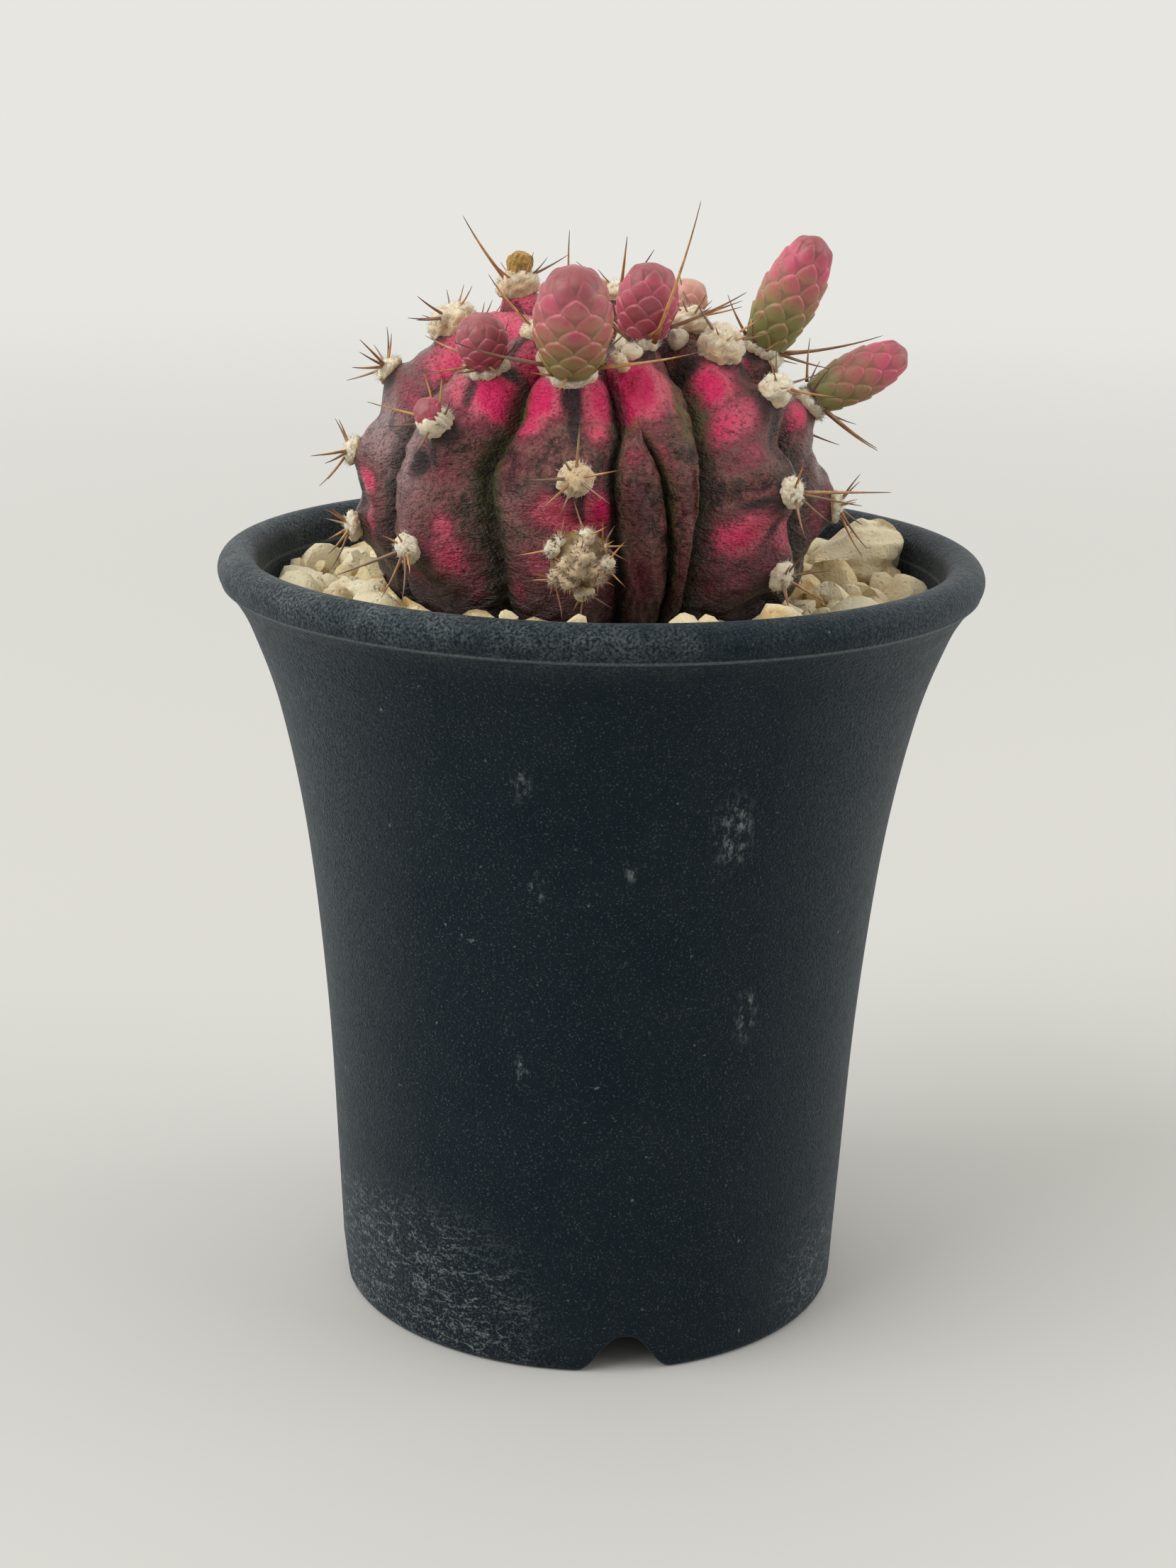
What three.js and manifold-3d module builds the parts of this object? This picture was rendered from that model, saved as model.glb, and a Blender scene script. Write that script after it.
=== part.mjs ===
// A potted moon cactus: a ribbed globe with buds and spines, in a flared plastic pot topped with pumice.
// Millimetres, +Z up. The origin is on the ground, at the middle of the pot's foot.
// Azimuths are in degrees round +Z: 0 points to -Y, the front, and 90 points to +X.

import * as THREE from 'three';
import { mergeVertices } from 'three/addons/utils/BufferGeometryUtils.js';
import Module from 'manifold-3d';

const wasm = await Module();
wasm.setup();

// Clearances

const WELD = 1e-4;
const GAP = 0.3;
const CUT_GAP = 0.38;

// The pot

const RIM_RADIUS = 45;
const POT_HEIGHT = 91.8;
const BEAD = 2.3;
const POT_WALL = 1.8;
const FOOT_WALL = 2.2;
const FLOOR_LIFT = 5;
const FLOOR_THICK = 1.8;
const POT_SIDES = 48;
// Outer wall as [radius, height], from the foot to just under the rim bead
const WALL_LINE = [
  [30.75, 0.8], [31.4, 14.3], [32.6, 35.8], [34.9, 57.5], [38, 73.4], [41.2, 82.8], [43.1, 86.4],
];
const WALL_ROWS = 8;
const NOTCH_COUNT = 4;
const NOTCH_WIDTH = 11;
const NOTCH_HEIGHT = 4.4;
const NOTCH_TURN = 8.5;
const DRAIN_RADIUS = 4;
const SIDE_DRAIN_RADIUS = 2.6;
const SIDE_DRAIN_PLACE = 17;

// What the pot holds

const SOIL_TOP = 80;
const BED_TOP = 84;
const FILL_SIDES = 40;
const FILL_GAP = 0.4;
const STONE_SEED = 41;
const STONE_TRIES = 5200;
const STONE_MOST = 52;
const STONE_MEAN = 3.8;
const STONE_SPREAD = 0.8;
const STONE_CLOSENESS = 0.8;
const STONE_REACH = 37.4;
// One large piece lies at the back right, as [x, y, size]
const LARGE_STONE = [32.6, 16.4, 5.6];
const LARGE_STONE_LIFT = 1;
// The gravel climbs to the stem and has heaps, each [x, y, spread, rise]
const BED_SLOPE = 0.07;
const BED_HEAPS = [[33, 17, 7, 3.4], [-29, 12, 8, 1.8], [22, 28, 9, 1.2]];
const STONE_INNER_REACH = 20;

// The stem's own frame: it leans to the front, and its zero height is at the gravel

const LEAN = 9;
const STEM_FOOT = new THREE.Vector3(-1.3, 0.5, 86);
// Rib crest as [radius, height] from the sunken crown over the shoulder to the tip of the root.
// A place along it is its step number, so step 3.5 is half way between the points 3 and 4.
const CREST_LINE = [
  [0, 29.2], [3, 30.2], [8, 31.4], [13, 30.8], [18.4, 28.6], [22.8, 25.2], [25.6, 20.6], [26.8, 15.2],
  [26.7, 9.4],
  [24.8, 4], [21.4, -1], [17.6, -5.6], [12.8, -9], [8, -11.6], [5.4, -15], [4.2, -20], [2.6, -27], [0, -30],
];
const STEM_STEPS = [
  0.7, 1.4, 2, 2.6, 3.1, 3.6, 4.1, 4.6, 5.1, 5.6, 6.1, 6.6, 7.1, 7.6, 8.1, 8.6, 9.2, 10, 11, 12.4, 14,
  16.6,
];
const COLUMNS_PER_RIB = 8;
const HOLE_SIDES = 20;
const HOLE_STEPS = [6, 8, 9.2, 10, 11, 12.4, 14, 16.6];
const HOLE_GAP = 0.65;

// Azimuths of the grooves and crests at these steps. L is a short rib that starts below the shoulder.

const KNOTS = [1, 3, 4.5, 5.5, 6.5, 7.5, 9];
const RIBS = [
  {
    name: 'A', depth: 1,
    groove: [-138, -131, -123, -118, -114, -111, -109],
    crest: [-131, -121, -106, -96, -87, -80, -76],
  },
  {
    name: 'B', depth: 0.95,
    groove: [-94, -84, -70, -67, -65, -63, -61],
    crest: [-66, -50, -47, -46, -47, -45.5, -43],
  },
  {
    name: 'C', depth: 0.9,
    groove: [-46, -34, -28.5, -31, -28, -24, -22],
    crest: [-30, -11, -6, -4, -3, -2, -2],
  },
  {
    name: 'L', depth: 0.7,
    groove: [10, 8, 9, 5.5, 6, 7, 7.5],
    crest: [13, 10.5, 11.5, 12, 13, 13.5, 13],
  },
  {
    name: 'D', depth: 0.62,
    groove: [18, 14, 15, 19, 19.8, 20, 18],
    crest: [56, 31, 24.5, 25, 24.3, 22.5, 20.5],
  },
  {
    name: 'E', depth: 0.9,
    groove: [72, 50, 35.5, 31, 28, 24.5, 23],
    crest: [84, 72, 66, 57, 52.5, 50.5, 49],
  },
  {
    name: 'F', depth: 1,
    groove: [98, 85, 80, 74, 69, 66, 65],
    crest: [108, 102, 98, 95, 90, 85, 83],
  },
  {
    name: 'G', depth: 1,
    groove: [122, 116, 112, 108, 104, 101, 100],
    crest: [132, 125, 126, 126, 124, 122, 120],
  },
  {
    name: 'H', depth: 1,
    groove: [150, 147, 145, 143, 141, 140, 140],
    crest: [172, 167, 166, 165, 163, 162, 160],
  },
  {
    name: 'I', depth: 1,
    groove: [192, 190, 188, 188, 187, 186, 185],
    crest: [208, 217, 217, 216, 214, 212, 211],
  },
];
const SHORT_RIB = 3;
const SHORT_RIB_START = 4.2;
const SHORT_RIB_FULL = 5;
// Groove depth at steps down the stem, and how sharp the ridges are
const DEPTH_KNOTS = [0, 1.5, 3, 4.5, 6, 7.5, 9, 10.5, 12];
const DEPTHS = [0.3, 2, 3.8, 4.4, 4.2, 3.4, 2.1, 0.8, 0];
const RIDGE_SHARE = 0.55;

// Areoles: where each stands, how far its bump rises, the size of its wool, and its spines.
// A spine is [clock, lift, length]: clock 0 points down the rib and turns on towards its left seen from
// outside, and lift is off the skin. A fourth number is the clock of its root, where that differs.

const AREOLES = [
  {
    name: 'a0', rib: 'A', step: 3.8, rise: 1.2, wool: 2.3, puff: 1.7,
    spines: [[100, 24, 7.5], [80, 12, 6.5], [95, 6, 8], [-70, 30, 5]],
  },
  {
    name: 'a1', rib: 'A', step: 5.1, rise: 1.2, wool: 1.7, puff: 1.1,
    spines: [[114, 30, 7], [104, 22, 6.5], [89, 18, 7], [-80, 26, 5], [10, 26, 4.5]],
  },
  {
    name: 'a2', rib: 'A', step: 6.6, rise: 1.1, wool: 1.6, puff: 1,
    spines: [[-60, 24, 6], [92, 36, 6.5], [86, 20, 5.6], [60, 18, 5], [20, 26, 5]],
  },
  {
    name: 'a3', rib: 'A', step: 7.9, rise: 1, wool: 1.6, puff: 1,
    spines: [[-58, 26, 5.5], [46, 30, 5.5], [84, 24, 6.5], [150, 30, 4]],
  },
  {
    name: 'b0', rib: 'B', step: 2, rise: 1, wool: 1.6, puff: 1.3,
    spines: [[-38, 40, 7.5], [140, 42, 5.5]],
  },
  {
    name: 'b1', rib: 'B', step: 3.5, rise: 1, wool: 3.7, puff: 1.3, bud: 'bud_b1',
    spines: [[-12, 18, 4.3], [-78, 14, 5], [66, 14, 5]],
  },
  {
    name: 'b2', rib: 'B', step: 5, rise: 1.1, wool: 2.4, puff: 1.4, bud: 'bud_b2',
    spines: [[-75, 24, 6], [30, 20, 5]],
  },
  {
    name: 'b3', rib: 'B', step: 7.5, rise: 1.1, wool: 1.7, puff: 1,
    spines: [[-60, 24, 8.5], [36, 26, 6], [-8, 24, 5.5], [70, 30, 4.5]],
  },
  {
    name: 'c0', rib: 'C', step: 1.5, rise: 0.8, wool: 1.5, puff: 1.2,
    spines: [[-66, 77, 11.5], [120, 46, 5]],
  },
  {
    name: 'c1', rib: 'C', step: 3.5, rise: 1, wool: 4.9, puff: 1.4, bud: 'bud_c1',
    spines: [[-78, 14, 9.5], [80, 16, 12], [0, 14, 5]],
  },
  {
    name: 'c2', rib: 'C', step: 5.7, rise: 1.2, wool: 2.1, puff: 1.3,
    spines: [[-80, 26, 6], [-41, 22, 5.2], [-16, 24, 4.6], [53, 24, 5], [97, 26, 5], [176, 28, 6]],
  },
  {
    name: 'd1', rib: 'D', step: 1.9, rise: 1, wool: 4.9, puff: 1.9, bud: 'bud_d1',
    spines: [[24, 64, 15.6, -14], [-70, 28, 7], [56, 14, 9], [-24, 20, 5]],
  },
  {
    name: 'e0', rib: 'E', step: 3.3, rise: 1, wool: 2.6, puff: 2.3,
    spines: [[70, 20, 6], [20, 26, 5], [-150, 36, 5]],
  },
  {
    name: 'e1', rib: 'E', step: 4.6, rise: 1.3, wool: 1.9, puff: 2.1,
    spines: [[18, 26, 6.5], [66, 24, 5], [160, 32, 4]],
  },
  {
    name: 'e2', rib: 'E', step: 6.45, rise: 1.3, wool: 1.7, puff: 1.1,
    spines: [[64, 24, 7.8], [76, 24, 11.5], [-40, 24, 6], [24, 30, 5]],
  },
  {
    name: 'e3', rib: 'E', step: 8, rise: 1, wool: 1.7, puff: 1,
    spines: [[-12, 30, 4.4], [56, 26, 6], [100, 28, 5], [-100, 30, 4]],
  },
  {
    name: 'f0', rib: 'F', step: 2.6, rise: 1, wool: 2, puff: 1.6,
    spines: [[100, 34, 6], [-90, 40, 5]],
  },
  {
    name: 'f1', rib: 'F', step: 4.1, rise: 1.2, wool: 4.5, puff: 1.5, bud: 'bud_f1',
    spines: [[14, 30, 12], [-52, 14, 6], [60, 18, 6]],
  },
  {
    name: 'f2', rib: 'F', step: 5.5, rise: 1.3, wool: 4, puff: 1.4, bud: 'bud_f2',
    spines: [[-52, 16, 7.5], [-30, 18, 6.5], [64, 16, 6]],
  },
  {
    name: 'f3', rib: 'F', step: 7.5, rise: 1.2, wool: 1.7, puff: 1,
    spines: [[-60, 26, 6.5], [-20, 24, 6], [50, 26, 6], [160, 30, 4]],
  },
  {
    name: 'g1', rib: 'G', step: 2.9, rise: 0.8, wool: 3.4, puff: 1.4, bud: 'bud_g1',
    spines: [[-70, 20, 5], [60, 18, 5.5], [-8, 20, 5]],
  },
  {
    name: 'g2', rib: 'G', step: 5.1, rise: 1.2, wool: 1.9, puff: 1.3,
    spines: [[-75, 24, 6.5], [75, 22, 7], [0, 22, 6]],
  },
  {
    name: 'g3', rib: 'G', step: 6.8, rise: 1.2, wool: 1.7, puff: 1,
    spines: [[-70, 24, 6.5], [70, 24, 6.5], [10, 26, 5]],
  },
  {
    name: 'h1', rib: 'H', step: 2.9, rise: 1.6, wool: 2.3, puff: 1.7,
    spines: [[-165, 44, 8], [-130, 38, 7], [70, 22, 6.5], [-40, 22, 6]],
  },
  {
    name: 'h2', rib: 'H', step: 4.5, rise: 1.2, wool: 2, puff: 1.3,
    spines: [[-80, 26, 7], [70, 24, 7], [-10, 24, 6]],
  },
  {
    name: 'h3', rib: 'H', step: 6.1, rise: 1.2, wool: 1.8, puff: 1.1,
    spines: [[-66, 24, 7], [80, 24, 6], [6, 26, 5.5]],
  },
  {
    name: 'h4', rib: 'H', step: 7.7, rise: 1, wool: 1.6, puff: 1,
    spines: [[-60, 28, 6], [60, 28, 6], [160, 30, 4]],
  },
  {
    name: 'i1', rib: 'I', step: 3.2, rise: 3.3, wool: 2.5, puff: 1.6, bud: 'bud_i1',
    spines: [[104, 50, 9.5], [124, 20, 5], [-100, 14, 5.5], [-20, 22, 5]],
  },
  {
    name: 'i2', rib: 'I', step: 4.9, rise: 1.2, wool: 1.9, puff: 1.2,
    spines: [[-70, 24, 7], [80, 24, 6.5], [0, 24, 6]],
  },
  {
    name: 'i3', rib: 'I', step: 6.6, rise: 1.2, wool: 1.7, puff: 1,
    spines: [[-64, 26, 6.5], [66, 24, 6.5], [10, 26, 5]],
  },
];
const BUMP_ACROSS = 4.2;
const BUMP_ALONG = 3.1;
const CHIN_DEPTH = 1.2;
const CHIN_BELOW = 5;
const CHIN_ALONG = 2;
const WOOL_SIDES = 8;
const WOOL_RINGS = 3;
// Spine roots, as shares of the wool's radius and of its height
const ROOT_IN_WOOL = 0.3;
const ROOT_ROUND_BUD = 0.8;
const ROOT_HEIGHT = 0.42;
const SPINE_RADIUS = 0.38;
const SPINE_BEND = 0.07;
const SPINE_SIDES = 3;

// Buds: the areole each stands on, its axis, length and width, and its scales in rings

const BUDS = [
  {
    name: 'bud_b1', areole: 'b1', axis: [-0.1, -0.5, 0.86],
    length: 6, width: 5.9, scales: 7, rings: 5, sunk: 0.3,
  },
  {
    name: 'bud_b2', areole: 'b2', axis: [-0.48, -0.66, 0.57],
    length: 2.9, width: 2.6, scales: 5, rings: 3, sunk: -0.5,
  },
  {
    name: 'bud_c1', areole: 'c1', axis: [0.02, -0.4, 0.92],
    length: 13.4, width: 9.2, scales: 7, rings: 8, sunk: 0.3,
  },
  {
    name: 'bud_d1', areole: 'd1', axis: [0.16, -0.16, 0.97],
    length: 8.6, width: 7.1, scales: 7, rings: 6, sunk: 0.2,
  },
  {
    name: 'bud_f1', areole: 'f1', axis: [0.4, -0.24, 0.88],
    length: 14.4, width: 7.2, scales: 6, rings: 9, sunk: 0.2,
  },
  {
    name: 'bud_f2', areole: 'f2', axis: [0.88, 0.1, 0.46],
    length: 12, width: 6, scales: 6, rings: 7, sunk: 0.2,
  },
  {
    name: 'bud_g1', areole: 'g1', axis: [0.16, -0.2, 0.97],
    length: 4.6, width: 4.7, scales: 6, rings: 4, sunk: 0.4,
  },
  {
    name: 'bud_i1', areole: 'i1', axis: [0.3, -0.1, 0.95],
    length: 3.1, width: 3, scales: 5, rings: 3, sunk: -0.9,
  },
];
const SCALE_RISE = 0.09;
// Shares of a bud's length at its first and last ring of scales, and of a ring at a scale's highest point
const FIRST_RING = 0.03;
const LAST_RING = 0.93;
const SCALE_TOP = 0.3;
// Share of a bud's width at its foot, and the shares of its length where it is widest and starts to close
const BUD_FOOT_SHARE = 0.6;
const BUD_WIDEST = 0.5;
const BUD_SHOULDER = 0.4;
const BUD_ROUNDNESS = 2.2;
const CLEARANCE_ROWS = 3;
const CLEARANCE_SIDES = 8;
const CLEARANCE = 0.66;

// The offset: a small spiny head on rib C

const PUP_STEP = 7.15;
const PUP_RADIUS = 3.5;
const PUP_FLATNESS = 0.86;
const PUP_LIFT = 1.1;
const PUP_SEED = 7;
// Its own areoles as [clock, tilt from its axis, size], with spines on each
const PUP_AREOLES = [
  [168, 62, 1.2], [-95, 64, 1.25], [0, 4, 1.6], [92, 58, 1.3], [10, 70, 1.2], [-48, 74, 1.1],
];
const PUP_SPINES = 3;
const PUP_SPINE_LENGTH = 4.6;

// Colours

const POT_BLUE_BLACK = 0x23282e;
const SOIL_BROWN = 0x3d3128;
const PUMICE_CREAM = 0xddd2b4;
const SKIN_PURPLE = 0x5c2a3a;
const WOOL_CREAM = 0xe3d5b0;
const BUD_ROSE = 0xb8647a;
const DRY_BROWN = 0x7c5a3c;
const PUP_YELLOW = 0xbfae72;

function randomFrom(seed) {
  let state = seed;
  return () => {
    state = (state + 0x6d2b79f5) | 0;
    let mixed = Math.imul(state ^ (state >>> 15), 1 | state);
    mixed = (mixed + Math.imul(mixed ^ (mixed >>> 7), 61 | mixed)) ^ mixed;
    return ((mixed ^ (mixed >>> 14)) >>> 0) / 4294967296;
  };
}

// Smooth curve through values at knots, the same in every use below
function curveAt(knots, values, place) {
  const last = knots.length - 1;
  const x = Math.min(Math.max(place, knots[0]), knots[last]);
  let k = 0;
  while (k < last - 1 && x >= knots[k + 1]) k += 1;
  const slope = (i) => (values[i + 1] - values[i]) / (knots[i + 1] - knots[i]);
  const tangent = (i) => {
    if (i === 0) return slope(0);
    if (i === last) return slope(last - 1);
    const before = knots[i] - knots[i - 1];
    const after = knots[i + 1] - knots[i];
    return (slope(i - 1) * after + slope(i) * before) / (before + after);
  };
  const span = knots[k + 1] - knots[k];
  const w = (x - knots[k]) / span;
  const w2 = w * w;
  const w3 = w2 * w;
  const start = (2 * w3 - 3 * w2 + 1) * values[k] + (w3 - 2 * w2 + w) * span * tangent(k);
  return start + (3 * w2 - 2 * w3) * values[k + 1] + (w3 - w2) * span * tangent(k + 1);
}

const radians = THREE.MathUtils.degToRad;

// Solids

function indexed(positions, triangles) {
  const geometry = new THREE.BufferGeometry();
  geometry.setAttribute('position', new THREE.Float32BufferAttribute(positions, 3));
  geometry.setIndex(triangles);
  return geometry;
}

function merged(geometry) {
  const bare = geometry.clone();
  bare.deleteAttribute('normal');
  bare.deleteAttribute('uv');
  const welded = mergeVertices(bare, WELD);
  const place = welded.getAttribute('position');
  const kept = [];
  const corners = [new THREE.Vector3(), new THREE.Vector3(), new THREE.Vector3()];
  let volume = 0;
  for (let i = 0; i < welded.index.count; i += 3) {
    const ids = [0, 1, 2].map((k) => welded.index.getX(i + k));
    if (ids[0] === ids[1] || ids[1] === ids[2] || ids[2] === ids[0]) continue;
    ids.forEach((id, k) => corners[k].fromBufferAttribute(place, id));
    volume += corners[0].dot(corners[1].clone().cross(corners[2]));
    kept.push(ids);
  }
  const order = volume > 0 ? kept : kept.map(([a, b, c]) => [a, c, b]);
  return indexed(Array.from(place.array), order.flat());
}

function solid(geometry) {
  const closed = merged(geometry);
  const vertProperties = new Float32Array(closed.getAttribute('position').array);
  const triVerts = new Uint32Array(closed.index.array);
  return new wasm.Manifold(new wasm.Mesh({ numProp: 3, vertProperties, triVerts }));
}

function geometryOf(body) {
  const mesh = body.getMesh();
  return indexed(Array.from(mesh.vertProperties), Array.from(mesh.triVerts));
}

// The largest body that a cut leaves, without its scraps
function largest(body) {
  const pieces = body.decompose();
  return pieces.reduce((best, piece) => (piece.volume() > best.volume() ? piece : best));
}

function lathe(outline, sides) {
  const geometry = new THREE.LatheGeometry(outline.map(([r, z]) => new THREE.Vector2(r, z)), sides);
  return geometry.rotateX(Math.PI / 2);
}

// The pot: a flared wall with a rounded rim, a raised floor with drain holes, and a notched foot

const wallCurve = new THREE.SplineCurve(WALL_LINE.map(([r, z]) => new THREE.Vector2(r, z)));
const FLOOR_TOP = FLOOR_LIFT + FLOOR_THICK;

// Radius at a height on a line of [radius, height] points that climbs
function radiusAt(line, height) {
  const above = line.findIndex((point) => point[1] >= height);
  if (above < 0) return line[line.length - 1][0];
  if (above === 0) return line[0][0];
  const [low, high] = [line[above - 1], line[above]];
  return low[0] + ((high[0] - low[0]) * (height - low[1])) / (high[1] - low[1]);
}

const wallLine = wallCurve.getPoints(60).map((point) => [point.x, point.y]);
const innerLine = [[radiusAt(wallLine, FLOOR_TOP) - POT_WALL - 1.5, FLOOR_TOP]];
[FLOOR_TOP + 2, 36, 58, 72, 79, 84].forEach((height) => {
  innerLine.push([radiusAt(wallLine, height) - POT_WALL, height]);
});

function potOutline() {
  const footInside = WALL_LINE[0][0] - FOOT_WALL;
  const outline = [[0, FLOOR_LIFT], [footInside, FLOOR_LIFT], [footInside, 0], [WALL_LINE[0][0] - 0.8, 0]];
  wallCurve.getPoints(WALL_ROWS).forEach((point) => outline.push([point.x, point.y]));
  const middle = [RIM_RADIUS - BEAD, POT_HEIGHT - BEAD];
  for (let turn = -30; turn <= 180; turn += 30) {
    const angle = radians(turn);
    outline.push([middle[0] + BEAD * Math.cos(angle), middle[1] + BEAD * Math.sin(angle)]);
  }
  outline.push(...innerLine.toReversed(), [0, FLOOR_TOP]);
  return outline;
}

function notch(turn) {
  const half = NOTCH_WIDTH / 2;
  const arch = new THREE.Shape();
  arch.moveTo(-half, -1);
  arch.lineTo(half, -1);
  arch.lineTo(half, 0);
  arch.bezierCurveTo(half - 1.2, 1, half - 2.2, NOTCH_HEIGHT, half - 4, NOTCH_HEIGHT);
  arch.lineTo(-half + 4, NOTCH_HEIGHT);
  arch.bezierCurveTo(-half + 2.2, NOTCH_HEIGHT, -half + 1.2, 1, -half, 0);
  const geometry = new THREE.ExtrudeGeometry(arch, { depth: 8, bevelEnabled: false, curveSegments: 5 });
  geometry.rotateX(Math.PI / 2);
  geometry.translate(0, -WALL_LINE[0][0] + FOOT_WALL + 4.5, 0);
  return solid(geometry.rotateZ(radians(turn)));
}

function drain(radius, place, turn) {
  const geometry = new THREE.CylinderGeometry(radius, radius, 4 * FLOOR_THICK, 10);
  geometry.rotateX(Math.PI / 2).translate(0, -place, FLOOR_TOP - FLOOR_THICK / 2);
  return solid(geometry.rotateZ(radians(turn)));
}

function potSolid() {
  let pot = solid(lathe(potOutline(), POT_SIDES)).subtract(drain(DRAIN_RADIUS, 0, 0));
  for (let k = 0; k < NOTCH_COUNT; k += 1) {
    const turn = NOTCH_TURN + (360 * k) / NOTCH_COUNT;
    pot = pot.subtract(notch(turn)).subtract(drain(SIDE_DRAIN_RADIUS, SIDE_DRAIN_PLACE, turn));
  }
  return pot;
}

// The stem: the crest line turned round the axis, pressed in at the grooves and raised at the areoles

function crestPoint(step) {
  const last = CREST_LINE.length - 1;
  const k = Math.min(Math.floor(step), last - 1);
  const w = step - k;
  const [p0, p1, p2, p3] = [Math.max(k - 1, 0), k, k + 1, Math.min(k + 2, last)].map((i) => CREST_LINE[i]);
  return [0, 1].map((i) => {
    const start = (p2[i] - p0[i]) / 2;
    const end = (p3[i] - p1[i]) / 2;
    const cubic = 2 * (p1[i] - p2[i]) + start + end;
    const square = 3 * (p2[i] - p1[i]) - 2 * start - end;
    return ((cubic * w + square) * w + start) * w + p1[i];
  });
}

// Direction down the crest line and the outward normal, both in the [radius, height] plane
function crestFrame(step) {
  const small = 1e-3;
  const ahead = crestPoint(Math.min(step + small, CREST_LINE.length - 1));
  const back = crestPoint(Math.max(step - small, 0));
  const down = new THREE.Vector2(ahead[0] - back[0], ahead[1] - back[1]).normalize();
  return { down, out: new THREE.Vector2(-down.y, down.x) };
}

const ribNamed = (name) => RIBS.find((rib) => rib.name === name);
const crestAzimuth = (rib, step) => curveAt(KNOTS, rib.crest, step);

function grooveAzimuth(index, step) {
  const round = Math.floor(index / RIBS.length);
  const rib = RIBS[index - round * RIBS.length];
  return curveAt(KNOTS, rib.groove, step) + 360 * round;
}

// Share of the groove's depth at a place between a crest, 0, and its groove, 1
const pressed = (share) => RIDGE_SHARE * share ** 1.6 + (1 - RIDGE_SHARE) * share ** 6;

function shareOf(azimuth, left, crest, right) {
  if (azimuth < crest) return Math.min((crest - azimuth) / (crest - left), 1);
  return Math.min((azimuth - crest) / (right - crest), 1);
}

// Depth below the crest line at a column, which counts ribs: 0.5 is the first rib's crest
function grooveDepth(column, step) {
  const index = Math.min(Math.floor(column), RIBS.length - 1);
  const rib = RIBS[index];
  const left = grooveAzimuth(index, step);
  const crest = crestAzimuth(rib, step);
  const right = grooveAzimuth(index + 1, step);
  const u = column - index;
  const azimuth = u < 0.5 ? left + (crest - left) * 2 * u : crest + (right - crest) * (2 * u - 1);
  const nextDepth = RIBS[(index + 1) % RIBS.length].depth;
  let share = Math.abs(2 * u - 1);
  let strength = u < 0.5 ? rib.depth : nextDepth;
  let depth = strength * pressed(share);
  if (index === SHORT_RIB || index === SHORT_RIB + 1) {
    const wide = RIBS[SHORT_RIB + 1];
    const wideCrest = crestAzimuth(wide, step);
    share = shareOf(azimuth, grooveAzimuth(SHORT_RIB, step), wideCrest, grooveAzimuth(SHORT_RIB + 2, step));
    strength = azimuth < wideCrest ? RIBS[SHORT_RIB].depth : RIBS[SHORT_RIB + 2].depth;
    const apart = THREE.MathUtils.smoothstep(step, SHORT_RIB_START, SHORT_RIB_FULL);
    depth = THREE.MathUtils.lerp(strength * pressed(share), depth, apart);
  }
  return { azimuth, depth: depth * curveAt(DEPTH_KNOTS, DEPTHS, step) };
}

// Bumps under the areoles, each with a notch below it
function areoleRise(azimuth, step, place) {
  let rise = 0;
  AREOLES.forEach((areole) => {
    if (Math.abs(areole.step - step) > 3) return;
    const centre = crestPoint(areole.step);
    const turn = ((azimuth - crestAzimuth(ribNamed(areole.rib), areole.step) + 540) % 360) - 180;
    const across = radians(turn) * Math.max(place[0], 1);
    const apart = Math.hypot(place[0] - centre[0], place[1] - centre[1]);
    const along = Math.sign(step - areole.step) * apart;
    const side = (across / BUMP_ACROSS) ** 2;
    rise += areole.rise * Math.exp(-side - (along / BUMP_ALONG) ** 2);
    rise -= CHIN_DEPTH * areole.rise * Math.exp(-side - ((along - CHIN_BELOW) / CHIN_ALONG) ** 2);
  });
  return rise;
}

const leaning = new THREE.Matrix4().makeRotationX(radians(LEAN)).setPosition(STEM_FOOT);
const aside = (azimuth) => new THREE.Vector3(Math.sin(radians(azimuth)), -Math.cos(radians(azimuth)), 0);

function stemPoint(column, step) {
  const { azimuth, depth } = grooveDepth(column, step);
  const place = crestPoint(step);
  const { out } = crestFrame(step);
  const lift = areoleRise(azimuth, step, place) - depth;
  const point = aside(azimuth).multiplyScalar(Math.max(place[0] + out.x * lift, 0.4));
  point.z = place[1] + out.y * lift;
  return point;
}

function stemGeometry() {
  const columns = RIBS.length * COLUMNS_PER_RIB;
  const positions = [];
  const triangles = [];
  STEM_STEPS.forEach((step) => {
    for (let c = 0; c < columns; c += 1) positions.push(...stemPoint(c / COLUMNS_PER_RIB, step).toArray());
  });
  const crown = positions.length / 3;
  positions.push(0, 0, crestPoint(0)[1], 0, 0, CREST_LINE[CREST_LINE.length - 1][1]);
  const lastRow = (STEM_STEPS.length - 1) * columns;
  for (let c = 0; c < columns; c += 1) {
    const next = (c + 1) % columns;
    triangles.push(crown, c, next, crown + 1, lastRow + next, lastRow + c);
    for (let row = 0; row < lastRow; row += columns) {
      triangles.push(row + c, row + columns + c, row + next);
      triangles.push(row + next, row + columns + c, row + columns + next);
    }
  }
  return merged(indexed(positions, triangles).applyMatrix4(leaning));
}

// The same surface moved outwards, which cuts what sits on it
function grown(geometry, distance) {
  const thick = geometry.clone();
  thick.computeVertexNormals();
  const place = thick.getAttribute('position');
  const normal = thick.getAttribute('normal');
  for (let i = 0; i < place.count; i += 1) {
    const x = place.getX(i) + distance * normal.getX(i);
    const y = place.getY(i) + distance * normal.getY(i);
    place.setXYZ(i, x, y, place.getZ(i) + distance * normal.getZ(i));
  }
  return thick;
}

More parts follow.
